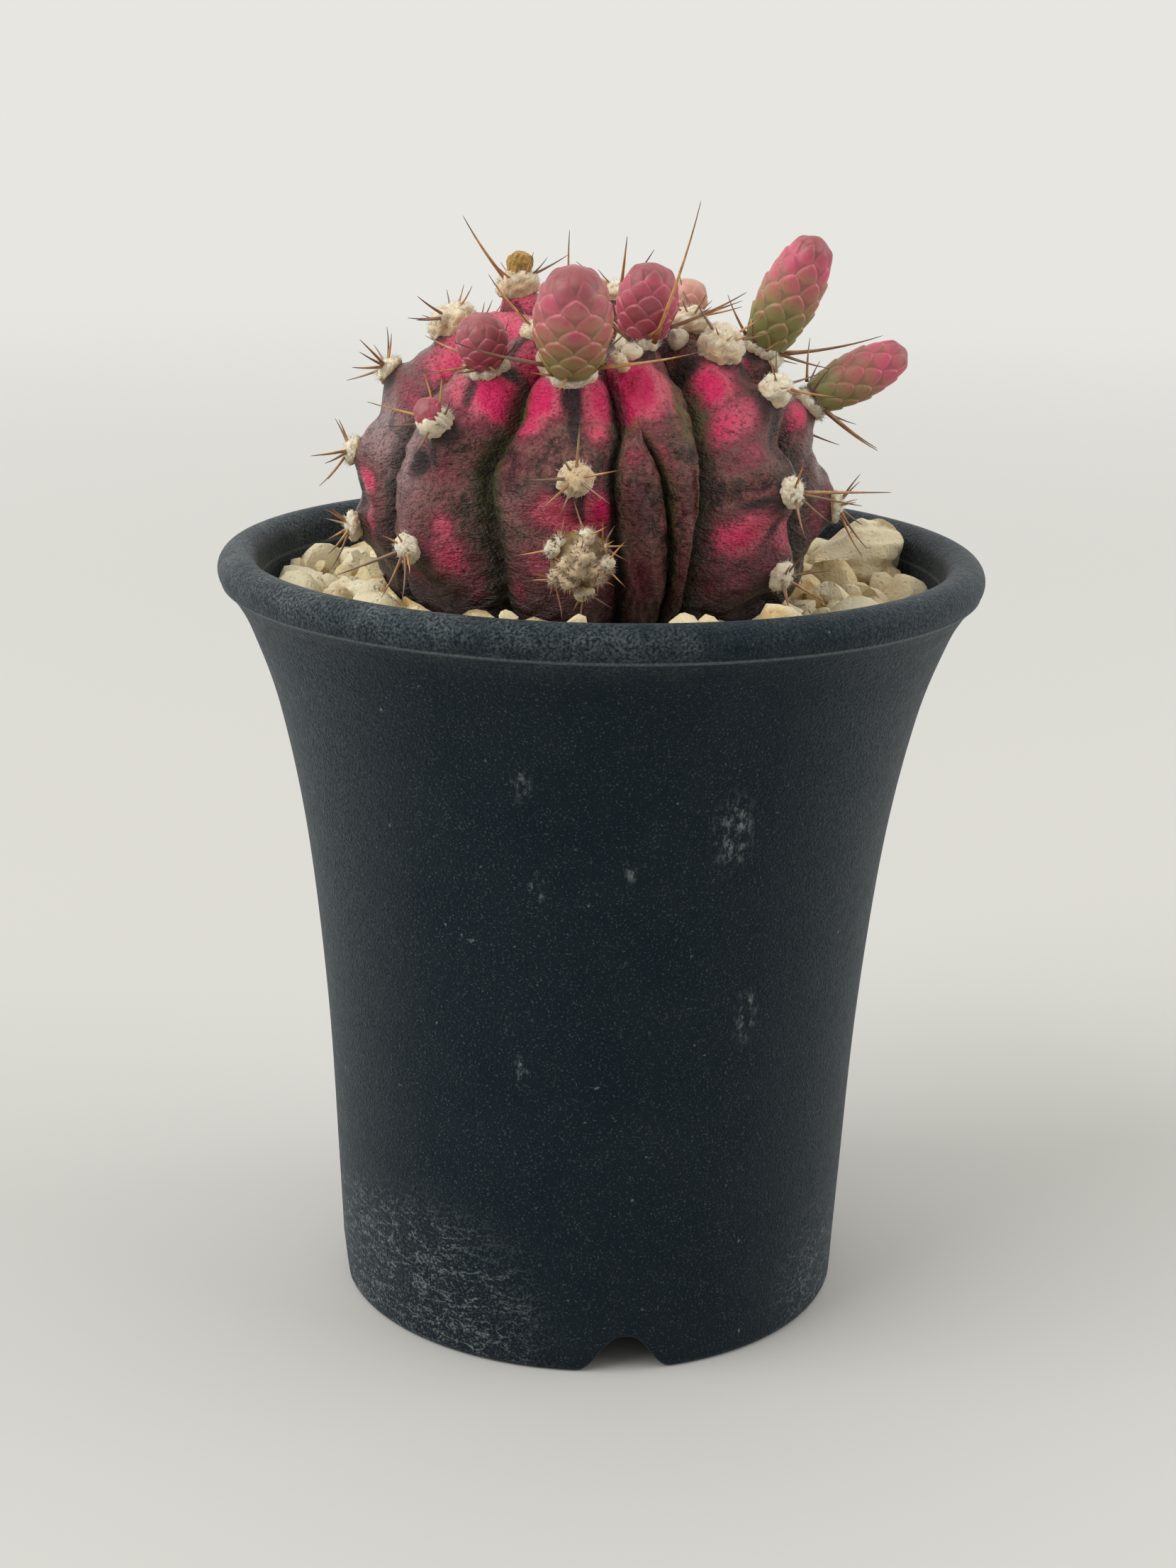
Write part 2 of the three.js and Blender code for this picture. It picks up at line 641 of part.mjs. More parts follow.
// Where something stands on a rib's crest: its point, and the directions out, down the rib and across it
function seat(ribName, step, rise) {
  const azimuth = crestAzimuth(ribNamed(ribName), step);
  const place = crestPoint(step);
  const { down, out } = crestFrame(step);
  const upright = ([r, z]) => {
    const vector = aside(azimuth).multiplyScalar(r);
    vector.z = z;
    return vector;
  };
  const point = upright([place[0] + out.x * rise, place[1] + out.y * rise]).applyMatrix4(leaning);
  const normal = upright(out.toArray()).transformDirection(leaning);
  const downRib = upright(down.toArray()).transformDirection(leaning);
  return { point, out: normal, down: downRib, across: new THREE.Vector3().crossVectors(normal, downRib) };
}

// Wool pads and spines

function placed(geometry, at, xAxis, yAxis, zAxis) {
  const matrix = new THREE.Matrix4().makeBasis(xAxis, yAxis, zAxis).setPosition(at);
  return geometry.applyMatrix4(matrix);
}

function woolPad(place, radius, puff, random) {
  const geometry = new THREE.SphereGeometry(1, WOOL_SIDES, WOOL_RINGS).rotateX(Math.PI / 2);
  geometry.rotateZ(random() * 3).scale(radius, radius * (0.92 + 0.1 * random()), puff);
  const at = place.point.clone().addScaledVector(place.out, puff * 0.3);
  return solid(placed(geometry, at, place.across, place.down.clone().negate(), place.out));
}

function spineDirection(place, clock, lift) {
  const flat = Math.cos(radians(lift));
  return new THREE.Vector3()
    .addScaledVector(place.down, flat * Math.cos(radians(clock)))
    .addScaledVector(place.across, flat * Math.sin(radians(clock)))
    .addScaledVector(place.out, Math.sin(radians(lift)));
}

// A slim cone, bent a little towards the skin
function spine(root, direction, length, bendTo) {
  const geometry = new THREE.ConeGeometry(SPINE_RADIUS, length, SPINE_SIDES, 2).translate(0, length / 2, 0);
  const place = geometry.getAttribute('position');
  for (let i = 0; i < place.count; i += 1) {
    const share = place.getY(i) / length;
    place.setZ(i, place.getZ(i) + SPINE_BEND * length * share * share);
  }
  const side = new THREE.Vector3().crossVectors(direction, bendTo).normalize();
  const towards = new THREE.Vector3().crossVectors(side, direction);
  return solid(placed(geometry, root, side, direction, towards));
}

function areoleSolid(areole, cutter, budCutters) {
  const random = randomFrom(areole.name.charCodeAt(0) * 31 + areole.name.charCodeAt(1));
  const place = seat(areole.rib, areole.step, areole.rise);
  let body = woolPad(place, areole.wool, areole.puff, random);
  areole.spines.forEach(([clock, lift, length, rootClock = clock]) => {
    const direction = spineDirection(place, clock, lift);
    const rootOut = areole.wool * (areole.bud ? ROOT_ROUND_BUD : ROOT_IN_WOOL);
    const root = place.point.clone().addScaledVector(place.out, GAP + ROOT_HEIGHT * areole.puff);
    root.addScaledVector(spineDirection(place, rootClock, 0), rootOut);
    body = body.add(spine(root, direction, length, place.out));
  });
  budCutters.forEach((bud) => {
    body = body.subtract(bud);
  });
  return largest(body.subtract(cutter));
}

// Buds: rings of overlapping scales, each a low pyramid with its top near its upper end

function budRadius(share, width) {
  const opening = Math.sin((Math.PI / 2) * Math.min(share / BUD_WIDEST, 1));
  const foot = BUD_FOOT_SHARE + (1 - BUD_FOOT_SHARE) * opening;
  const over = Math.max(0, (share - BUD_SHOULDER) / (1 - BUD_SHOULDER));
  return (width / 2) * foot * Math.sqrt(Math.max(1 - over ** BUD_ROUNDNESS, 0));
}

function budGeometry(bud) {
  const { length, width, scales, rings } = bud;
  const positions = [];
  const triangles = [];
  const vertex = (share, turn, lift) => {
    const radius = budRadius(share, width) * (1 + lift);
    const angle = (2 * Math.PI * turn) / scales;
    positions.push(radius * Math.cos(angle), radius * Math.sin(angle), length * share);
    return positions.length / 3 - 1;
  };
  const ringShare = (ring) => FIRST_RING + (LAST_RING - FIRST_RING) * (ring / rings);
  const lattice = [];
  for (let ring = 0; ring <= rings; ring += 1) {
    const row = [];
    for (let k = 0; k < scales; k += 1) row.push(vertex(ringShare(ring), k + (ring % 2) / 2, 0));
    lattice.push(row);
  }
  const between = (ring, k) => (ring % 2 ? (k + 1) % scales : k);
  for (let ring = 1; ring < rings; ring += 1) {
    for (let k = 0; k < scales; k += 1) {
      const left = lattice[ring][k];
      const right = lattice[ring][(k + 1) % scales];
      const low = lattice[ring - 1][between(ring, k)];
      const high = lattice[ring + 1][between(ring, k)];
      const top = vertex(ringShare(ring + SCALE_TOP), k + (ring % 2) / 2 + 0.5, SCALE_RISE);
      triangles.push(low, right, top, right, high, top, high, left, top, left, low, top);
    }
  }
  const foot = positions.length / 3;
  positions.push(0, 0, 0, 0, 0, length);
  for (let k = 0; k < scales; k += 1) {
    const next = (k + 1) % scales;
    triangles.push(lattice[0][k], lattice[0][next], lattice[1][k]);
    triangles.push(foot, lattice[0][next], lattice[0][k]);
    const upper = lattice[rings];
    const lower = lattice[rings - 1];
    triangles.push(lower[between(rings, k)], upper[next], upper[k]);
    triangles.push(foot + 1, upper[k], upper[next]);
  }
  return merged(indexed(positions, triangles));
}

function budPlaced(bud, geometry) {
  const areole = AREOLES.find((entry) => entry.name === bud.areole);
  const place = seat(areole.rib, areole.step, areole.rise);
  const axis = new THREE.Vector3(...bud.axis).normalize();
  const side = new THREE.Vector3().crossVectors(place.down, axis).normalize();
  const front = new THREE.Vector3().crossVectors(axis, side);
  const at = place.point.clone().addScaledVector(place.out, GAP - bud.sunk);
  return solid(placed(geometry, at, side, front, axis));
}

// A plain form round a bud, clear of its scales, which cuts the wool below it
function budClearance(bud) {
  const outline = [[0, -CLEARANCE]];
  for (let k = 0; k <= CLEARANCE_ROWS; k += 1) {
    const share = k / CLEARANCE_ROWS;
    outline.push([budRadius(share, bud.width) * (1 + SCALE_RISE) + CLEARANCE, bud.length * share]);
  }
  outline.push([0, bud.length + CLEARANCE]);
  return budPlaced(bud, lathe(outline, CLEARANCE_SIDES));
}

// The offset: a low head with a spiny areole on each tubercle

function pupSolid(cutter) {
  const random = randomFrom(PUP_SEED);
  const place = seat('C', PUP_STEP, 0.2);
  const head = new THREE.SphereGeometry(PUP_RADIUS, 10, 6).rotateX(Math.PI / 2);
  head.scale(1, 1.1, PUP_FLATNESS);
  const middle = place.point.clone().addScaledVector(place.out, PUP_LIFT);
  let body = solid(placed(head, middle, place.across, place.down.clone().negate(), place.out));
  PUP_AREOLES.forEach(([clock, tilt, size]) => {
    const out = spineDirection(place, clock, 90 - tilt);
    const at = middle.clone().addScaledVector(out, PUP_RADIUS * PUP_FLATNESS);
    const knob = new THREE.OctahedronGeometry(size, 0).translate(at.x, at.y, at.z);
    body = body.add(solid(knob));
    const down = spineDirection(place, clock, -tilt);
    const own = { down, out, across: new THREE.Vector3().crossVectors(out, down) };
    for (let k = 0; k < PUP_SPINES; k += 1) {
      const turn = (360 * (k + random() * 0.5)) / PUP_SPINES;
      const length = PUP_SPINE_LENGTH * (0.75 + 0.4 * random());
      const direction = spineDirection(own, turn, 30 + 14 * random());
      body = body.add(spine(at.clone(), direction, length, out));
    }
  });
  return largest(body.subtract(cutter));
}

// Potting mix and pumice, with a plain hole for the stem

function stemHole() {
  const outline = HOLE_STEPS.map((step) => {
    const [r, z] = crestPoint(step);
    const { out } = crestFrame(step);
    return [r + out.x * HOLE_GAP, z + out.y * HOLE_GAP];
  });
  const [tip] = CREST_LINE.slice(-1);
  outline.unshift([0, outline[0][1]]);
  outline.push([2 * HOLE_GAP, tip[1] - HOLE_GAP], [0, tip[1] - 2 * HOLE_GAP]);
  return solid(lathe(outline, HOLE_SIDES).applyMatrix4(leaning));
}

// A filling of the pot between two heights, clear of its wall
function fillOutline(low, high) {
  const heights = [low, ...innerLine.map((point) => point[1]).filter((z) => z > low && z < high), high];
  const side = heights.map((height) => [radiusAt(innerLine, height) - FILL_GAP, height]);
  return [[0, low], ...side, [0, high]];
}

function gravelHeight(x, y) {
  let height = BED_TOP + (STONE_REACH - Math.hypot(x, y)) * BED_SLOPE;
  BED_HEAPS.forEach(([cx, cy, spread, rise]) => {
    height += rise * Math.exp(-((x - cx) ** 2 + (y - cy) ** 2) / spread ** 2);
  });
  return height;
}

function stone([x, y, size], lift, random) {
  const geometry = merged(new THREE.IcosahedronGeometry(1, 0));
  const place = geometry.getAttribute('position');
  for (let i = 0; i < place.count; i += 1) {
    const stretch = 0.82 + 0.36 * random();
    place.setXYZ(i, place.getX(i) * stretch, place.getY(i) * stretch, place.getZ(i) * stretch);
  }
  geometry.rotateX(random() * 6).rotateY(random() * 6);
  geometry.scale(size, size * (0.8 + 0.3 * random()), size * (0.66 + 0.2 * random())).rotateZ(random() * 6);
  return solid(geometry.translate(x, y, gravelHeight(x, y) - size * 0.12 + lift));
}

function gravelSolid(hole) {
  const random = randomFrom(STONE_SEED);
  let bed = solid(lathe(fillOutline(SOIL_TOP + GAP, BED_TOP), FILL_SIDES));
  const spots = [LARGE_STONE];
  for (let k = 0; k < STONE_TRIES && spots.length < STONE_MOST; k += 1) {
    const reach = STONE_INNER_REACH + (STONE_REACH - STONE_INNER_REACH) * Math.sqrt(random());
    const around = random() * 2 * Math.PI;
    const size = STONE_MEAN + STONE_SPREAD * (2 * random() - 1);
    const spot = [reach * Math.cos(around), reach * Math.sin(around), size];
    const free = spots.every((other) => {
      return Math.hypot(other[0] - spot[0], other[1] - spot[1]) > STONE_CLOSENESS * (other[2] + size);
    });
    if (free) spots.push(spot);
  }
  const stones = spots.map((spot, k) => stone(spot, k === 0 ? LARGE_STONE_LIFT : 0.7 * random(), random));
  bed = wasm.Manifold.union([bed, ...stones]);
  const inside = solid(lathe(fillOutline(SOIL_TOP + GAP, POT_HEIGHT + 6), FILL_SIDES));
  return largest(bed.intersect(inside).subtract(hole));
}

// Assembly

const cactus = new THREE.Group();

function addPiece(name, geometry, color, roughness) {
  const material = new THREE.MeshStandardMaterial({ color, roughness, metalness: 0 });
  const mesh = new THREE.Mesh(geometry, material);
  mesh.name = name;
  cactus.add(mesh);
}

const stem = stemGeometry();
const stemCutter = solid(grown(stem, CUT_GAP));
const hole = stemHole();
const budCutters = BUDS.map(budClearance);
const soil = solid(lathe(fillOutline(FLOOR_TOP + GAP, SOIL_TOP), FILL_SIDES)).subtract(hole);

addPiece('pot', geometryOf(potSolid()), POT_BLUE_BLACK, 0.62);
addPiece('potting_mix', geometryOf(soil), SOIL_BROWN, 0.95);
addPiece('pumice', geometryOf(gravelSolid(hole)), PUMICE_CREAM, 0.9);
addPiece('stem', stem, SKIN_PURPLE, 0.5);
addPiece('pup', geometryOf(pupSolid(stemCutter)), PUP_YELLOW, 0.8);
AREOLES.forEach((areole) => {
  const body = areoleSolid(areole, stemCutter, budCutters);
  addPiece(`areole_${areole.name}`, geometryOf(body), WOOL_CREAM, 0.95);
});
BUDS.forEach((bud) => {
  const body = largest(budPlaced(bud, budGeometry(bud)).subtract(stemCutter));
  addPiece(bud.name, geometryOf(body), bud.name === 'bud_i1' ? DRY_BROWN : BUD_ROSE, 0.55);
});

export default cactus;
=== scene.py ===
"""Potted moon cactus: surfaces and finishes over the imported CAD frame.

Shapes are worked out in millimetres, with +Z up and -Y to the front, and go into their meshes in metres.
Azimuths are in degrees round +Z: 0 points to -Y, the front, and 90 points to +X.
"""
import functools
import math

import bpy
import numpy as np
from bpy.props import FloatProperty, FloatVectorProperty, IntProperty, PointerProperty
from mathutils import Matrix, Vector


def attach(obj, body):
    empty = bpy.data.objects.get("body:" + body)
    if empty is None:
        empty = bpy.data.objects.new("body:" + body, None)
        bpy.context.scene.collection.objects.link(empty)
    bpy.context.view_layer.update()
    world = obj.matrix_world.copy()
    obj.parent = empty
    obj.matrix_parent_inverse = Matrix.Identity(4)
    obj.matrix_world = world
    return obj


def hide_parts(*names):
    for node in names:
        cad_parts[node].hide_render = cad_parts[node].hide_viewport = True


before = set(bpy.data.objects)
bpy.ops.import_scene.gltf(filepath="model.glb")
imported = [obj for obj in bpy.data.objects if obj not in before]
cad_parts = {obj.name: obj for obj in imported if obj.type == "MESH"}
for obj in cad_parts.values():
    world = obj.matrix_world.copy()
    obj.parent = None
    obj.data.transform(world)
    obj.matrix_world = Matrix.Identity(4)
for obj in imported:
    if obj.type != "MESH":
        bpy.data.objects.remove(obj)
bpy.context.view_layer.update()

bl_info = {
    "name": "Potted Moon Cactus",
    "version": (1, 0, 0),
    "blender": (4, 5, 0),
    "location": "View3D > Sidebar > Cactus",
    "description": "Builds a ribbed moon cactus with buds, spines and wool in a plastic pot with pumice",
    "category": "Add Mesh",
}

MM = 0.001
# Plane waves that are added up for one smooth noise
WAVE_COUNT = 12

# The pot, as [radius, height] from the foot to just under the rim bead

WALL_LINE = ((30.75, 0.8), (31.4, 14.3), (32.6, 35.8), (34.9, 57.5), (38, 73.4), (41.2, 82.8), (43.1, 86.4))
WALL_ROWS = 90
POT_COLUMNS = 400
WALL = 1.8
INNER_TOP = 84
# An edge sharper than this many degrees is shaded as an edge
POT_SHARP = 50
# Where the bead's round begins, in degrees from level
BEAD_START = -34
# The rounded corner of wall and floor: heights over the floor, steps in from the wall, and the last step
CORNER_HEIGHTS = (0.8, 0.2)
CORNER_STEPS = (0.5, 1.3)
CORNER_END = 0.8
FOOT_EDGE = ((30, 0), (30.5, 0.25))
FOOT_CHAMFER = 0.4
FOOT_WALL = 2.2
# Rows of the profile inside the foot and under it
FOOT_ROWS = 11
FLOOR_LIFT = 5
FLOOR_TOP = 6.8
DRAIN_RADIUS = 4
SIDE_DRAIN_RADIUS = 2.6
SIDE_DRAIN_PLACE = 17
NOTCHES = (8.5, 98.5, 188.5, 278.5)
NOTCH_HALF = 5.5
NOTCH_FLAT = 0.6
NOTCH_HEIGHT = 4.4
# The wall's rows below the first height are squeezed up over a notch, and the foot's below the second
NOTCH_REACH = 9
FOOT_REACH = 4.65
PARTING_LINE = 87.9
PARTING_RISE = 0.2
PARTING_HALF = 0.25
# Scuffs on the wall, as [azimuth, height, size]
SCUFFS = (
    (24, 67, 3.4), (31, 44, 2.2), (-10.5, 60.5, 1.4), (-12.5, 73, 1.6), (-14, 38, 1.3), (6, 63, 1),
    (120, 60, 2.6), (165, 44, 3), (210, 70, 2.4), (262, 30, 2),
)
# Where lime, dust and painted highlights lie, and a pale line along the parting line, each as the place in
# metres where it starts, the place where it is full, and its shares there where they aren't 0 and 1
LIME_LEFT = (0.006, -0.02)
LIME_RIGHT = (0.016, 0.028, 0, 0.7)
LIME_FRONT = (0.012, -0.004, 0.35, 1)
LIME_HEIGHT = (0.03, 0.004)
# Dust on the rim's top, stronger on its left half as a painted highlight
RIM_DUST_AND_SHEEN = (0.0845, 0.0915)
RIM_LEFT_SHEEN = (0.0107, 0.0099, 0.14, 0.4)
# Dust on the wall's far left and right sides, partly a painted sheen along those edges
SIDE_DUST_AND_SHEEN = (0.017, 0.035, 0, 0.14)
# A pale line along the parting line
PARTING_PALE_LINE = (0.00028, 0.0001, 0, 0.5)

# The pumice, whose larger stones lie where the CAD stones do

SOIL_TOP = 80.3
BED_TOP = 84
STONE_SEED = 41
STONE_MOST = 52
STONE_REACH = 37.4
# How the stones, then the chips, are scattered: tries, least and most reach, least and most size, how close
# they come as a share of their sizes, and the most that a stone already there counts for. A chip's size is
# in chip sizes.
STONE_SCATTER = (5200, (20, STONE_REACH), (3, 4.6), 0.8, 99)
CHIP_SCATTER = (9000, (17, 38.8), (0.7, 1.45), 0.62, 3.4)
CHIP_LIFTS = (0.1, 1.3)
LARGE_STONE = (32.6, 16.4, 5.6)
LARGE_STONE_LIFT = 1
BED_SLOPE = 0.07
BED_HEAPS = ((33, 17, 7, 3.4), (-29, 12, 8, 1.8), (22, 28, 9, 1.2))
BED_RADII = (14, 30, 46)
FILL_GAP = 0.4
STONE_LIFT = 0.35
STONE_SHARP = 42
# Flat faces of a stone, and how sharp its edges are
STONE_FACES = 11
STONE_SHARPNESS = 13
# Chips heaped against the front of the wall, as [azimuth, reach, height, size]
FRONT_CHIPS = (
    (-17, 34.5, 89.7, 1.1), (-22, 35.5, 87.4, 2), (-13, 35, 87.6, 1.9), (-4, 34, 89.6, 1.3),
    (2, 35, 87.6, 1.9), (9, 34.6, 87.6, 2.1), (15.5, 34, 89.2, 1.9), (19, 34.4, 89.1, 1.6),
    (23, 35, 87.5, 2), (29, 35, 87.8, 2.1), (35, 34, 89, 2.2), (39, 33, 88.6, 1.8), (-30, 35.5, 87, 2),
    (11, 33, 88.2, 1.6), (-9, 33.6, 87.8, 1.7),
)

# The stem: it leans to the front about its foot. The crest line of a rib is [radius, height] in the
# stem's own frame, and a place along it is its step number.

STEM_FOOT = (-1.3, 0.5, 86)
CREST_LINE = (
    (0, 29.2), (3, 30.2), (8, 31.4), (13, 30.8), (18.4, 28.6), (22.8, 25.2), (25.6, 20.6), (26.8, 15.2),
    (26.7, 9.4), (24.8, 4), (21.4, -1), (17.6, -5.6), (12.8, -9), (8, -11.6), (5.4, -15), (4.2, -20),
    (2.6, -27), (0, -30),
)
# Each rib: the depth and the azimuths of the groove before it, then its crest's, at these steps
KNOTS = (1, 3, 4.5, 5.5, 6.5, 7.5, 9)
RIBS = {
    "A": (1, (-138, -131, -123, -118, -114, -111, -109), (-131, -121, -106, -96, -87, -80, -76)),
    "B": (0.95, (-94, -84, -70, -67, -65, -63, -61), (-66, -50, -47, -46, -47, -45.5, -43)),
    "C": (0.9, (-46, -34, -28.5, -31, -28, -24, -22), (-30, -11, -6, -4, -3, -2, -2)),
    "L": (0.7, (10, 8, 9, 5.5, 6, 7, 7.5), (13, 10.5, 11.5, 12, 13, 13.5, 13)),
    "D": (0.62, (18, 14, 15, 19, 19.8, 20, 18), (56, 31, 24.5, 25, 24.3, 22.5, 20.5)),
    "E": (0.9, (72, 50, 35.5, 31, 28, 24.5, 23), (84, 72, 66, 57, 52.5, 50.5, 49)),
    "F": (1, (98, 85, 80, 74, 69, 66, 65), (108, 102, 98, 95, 90, 85, 83)),
    "G": (1, (122, 116, 112, 108, 104, 101, 100), (132, 125, 126, 126, 124, 122, 120)),
    "H": (1, (150, 147, 145, 143, 141, 140, 140), (172, 167, 166, 165, 163, 162, 160)),
    "I": (1, (192, 190, 188, 188, 187, 186, 185), (208, 217, 217, 216, 214, 212, 211)),
}
RIB_NAMES = "ABCLDEFGHI"
SHORT_RIB = 3
SHORT_RIB_START = 4.2
SHORT_RIB_FULL = 5
DEPTH_KNOTS = (0, 1.5, 3, 4.5, 6, 7.5, 9, 10.5, 12)
DEPTHS = (0.3, 2, 3.8, 4.4, 4.2, 3.4, 2.1, 0.8, 0)
RIDGE_SHARE = 0.55
BUMP_ACROSS = 4.2
BUMP_ALONG = 3.1
CHIN_DEPTH = 1.2
CHIN_BELOW = 5
CHIN_ALONG = 2
# How far the gravel keeps off the stem, and the steps of the stem it keeps off: first, last and how many
GRAVEL_GAP = 0.15
GRAVEL_STEPS = (6, 16.6, 200)
# The skin's grid, as its first and last step and its number of steps, seen and buried
SEEN_STEPS = (0.25, 9.6, 205)
BURIED_STEPS = (9.75, 16.6, 22)
STEM_COLUMNS = 400
# Low waves of the skin, as [height, wavelength, seed], and the height of the ridges across a rib's sides
SKIN_WAVES = ((0.32, 7, 1), (0.12, 2.6, 2))
CROSS_RIDGE = 0.09
CREASE_DEPTH = 0.55

# Areoles: rib, step, rise of the bump, wool radius, wool height, bud, and spines as [clock, lift, length]
# with the root's own clock where that differs. Clock 0 points down the rib and turns to its left.

AREOLES = {
    "a0": ("A", 3.8, 1.2, 2.8, 2.2, None, ((100, 24, 7.5), (80, 12, 6.5), (95, 6, 8), (-70, 30, 5))),
    "a1": ("A", 5.1, 1.2, 1.7, 1.1, None,
           ((114, 30, 7), (104, 22, 6.5), (89, 18, 7), (-80, 26, 5), (10, 26, 4.5))),
    "a2": ("A", 6.6, 1.1, 1.6, 1, None,
           ((-60, 24, 6), (92, 36, 6.5), (86, 20, 5.6), (60, 18, 5), (20, 26, 5))),
    "a3": ("A", 7.9, 1, 1.6, 1, None, ((-58, 26, 5.5), (46, 30, 5.5), (84, 24, 6.5), (150, 30, 4))),
    "b0": ("B", 2, 1, 1.6, 1.3, None, ((-38, 40, 7.5), (140, 42, 5.5))),
    "b1": ("B", 3.5, 1, 3.7, 1.3, "bud_b1", ((-12, 18, 4.3), (-78, 14, 5), (66, 14, 5))),
    "b2": ("B", 5, 1.1, 2.4, 1.4, "bud_b2", ((-75, 24, 6), (30, 20, 5))),
    "b3": ("B", 7.5, 1.1, 1.7, 1, None, ((-60, 24, 8.5), (36, 26, 6), (-8, 24, 5.5), (70, 30, 4.5))),
    "c0": ("C", 1.5, 0.8, 1.5, 1.2, None, ((-66, 77, 11.5), (120, 46, 5))),
    "c1": ("C", 3.24, 1, 4.6, 1.4, "bud_c1", ((-78, 14, 9.5), (80, 16, 12), (0, 14, 5))),
    "c2": ("C", 5.7, 1.2, 1.85, 1.2, None,
           ((-80, 26, 6), (-41, 22, 5.2), (-16, 24, 4.6), (53, 24, 5), (97, 26, 5), (176, 28, 6))),
    "d1": ("D", 1.9, 1, 4.9, 1.9, "bud_d1",
           ((24, 64, 15.6, -14), (-70, 28, 7), (56, 14, 9), (-24, 20, 5))),
    "e0": ("E", 3.3, 1, 2.5, 2.4, None, ((70, 20, 6), (20, 26, 5), (-150, 36, 5))),
    "e1": ("E", 4.6, 1.3, 1.75, 2, None, ((18, 26, 6.5), (66, 24, 5), (160, 32, 4))),
    "e2": ("E", 6.45, 1.3, 1.7, 1.1, None, ((64, 24, 7.8), (76, 24, 11.5), (-40, 24, 6), (24, 30, 5))),
    "e3": ("E", 8, 1, 1.7, 1, None, ((-12, 30, 4.4), (56, 26, 6), (100, 28, 5), (-100, 30, 4))),
    "f0": ("F", 2.6, 1, 2, 1.6, None, ((100, 34, 6), (-90, 40, 5))),
    "f1": ("F", 4.1, 1.2, 4.5, 1.5, "bud_f1", ((14, 30, 12), (-52, 14, 6), (60, 18, 6))),
    "f2": ("F", 5.5, 1.3, 4, 1.4, "bud_f2", ((-52, 16, 7.5), (-30, 18, 6.5), (64, 16, 6))),
    "f3": ("F", 7.5, 1.2, 1.7, 1, None, ((-60, 26, 6.5), (-20, 24, 6), (50, 26, 6), (160, 30, 4))),
    "g1": ("G", 2.9, 0.8, 3.4, 1.4, "bud_g1", ((-70, 20, 5), (60, 18, 5.5), (-8, 20, 5))),
    "g2": ("G", 5.1, 1.2, 1.9, 1.3, None, ((-75, 24, 6.5), (75, 22, 7), (0, 22, 6))),
    "g3": ("G", 6.8, 1.2, 1.7, 1, None, ((-70, 24, 6.5), (70, 24, 6.5), (10, 26, 5))),
    "h1": ("H", 2.9, 1.6, 2.3, 1.7, None, ((-165, 44, 8), (-130, 38, 7), (70, 22, 6.5), (-40, 22, 6))),
    "h2": ("H", 4.5, 1.2, 2, 1.3, None, ((-80, 26, 7), (70, 24, 7), (-10, 24, 6))),
    "h3": ("H", 6.1, 1.2, 1.8, 1.1, None, ((-66, 24, 7), (80, 24, 6), (6, 26, 5.5))),
    "h4": ("H", 7.7, 1, 1.6, 1, None, ((-60, 28, 6), (60, 28, 6), (160, 30, 4))),
    "i1": ("I", 3.2, 3.3, 2.5, 1.9, "bud_i1",
           ((104, 50, 9.5), (124, 20, 5), (-100, 14, 5.5), (-20, 22, 5))),
    "i2": ("I", 4.9, 1.2, 1.9, 1.2, None, ((-70, 24, 7), (80, 24, 6.5), (0, 24, 6))),
    "i3": ("I", 6.6, 1.2, 1.7, 1, None, ((-64, 26, 6.5), (66, 24, 6.5), (10, 26, 5))),
}
WOOL_GAP = 0.3
ROOT_IN_WOOL = 0.3
ROOT_ROUND_BUD = 0.8
ROOT_HEIGHT = 0.42
ROOT_SUNK = 0.3
ROOT_SUNK_AT_BUD = 1.2
# Small tufts round a cushion, and short spines where the listed ones leave this many degrees free
CUSHION_TUFTS = 9
SPINE_GAP = 34
MOST_SPINES = 7
SHORT_LIFTS = (22, 40)
SHORT_LENGTHS = (2.6, 4.2)
# A real hair is thinner still, and would not show
HAIR_WIDTH = 0.034
SPINE_RINGS = 9
SPINE_SIDES = 8
# Places of these finishes in a piece's list, where the wool's is first
SPINE_FINISH = 1
SKIN_FINISH = 2

# Wool collars round the buds' feet: how far outside the foot, and half their width and height
COLLARS = {
    "b1": (0.35, 0.5, 0.65), "b2": (0.7, 0.55, 1.35), "c1": (0.15, 0.5, 0.65), "d1": (0.3, 0.7, 0.8),
    "f1": (0.4, 0.6, 0.75), "f2": (0.35, 0.6, 0.8), "g1": (0.5, 0.7, 0.9),
}
# How yellow the wool of an areole is
YELLOW_WOOL = {"a0": 0.4, "b0": 0.3, "c0": 0.4, "c2": 1.1, "e0": 0.3, "f0": 0.3, "h1": 0.3, "i1": 0.4}
# Larger tufts beside the buds, as [clock, reach, radius, height, age]
SIDE_TUFTS = {
    "c1": ((128, 5.6, 0.8, 1.9, 0.5), (-130, 5.7, 0.9, 2, 0.5), (148, 5.2, 0.8, 1.6, 0.4),
           (-150, 5.4, 0.8, 1.6, 0.4)),
    "d1": ((-62, 4.2, 1.1, 1.1, 0), (70, 4.4, 1.2, 1.3, 0.2), (110, 4.4, 1.2, 1.5, 0.3)),
    "g1": ((60, 3.2, 0.9, 1, 0.2), (-70, 3.2, 0.8, 1, 0.2)),
    "f1": ((-60, 3.4, 0.8, 0.8, 0), (120, 3.4, 0.9, 1, 0.3)),
}

# Buds: areole, axis, length, width, scales round, rings of scales, how far sunk, and how green the foot
# and how dusky the scales are

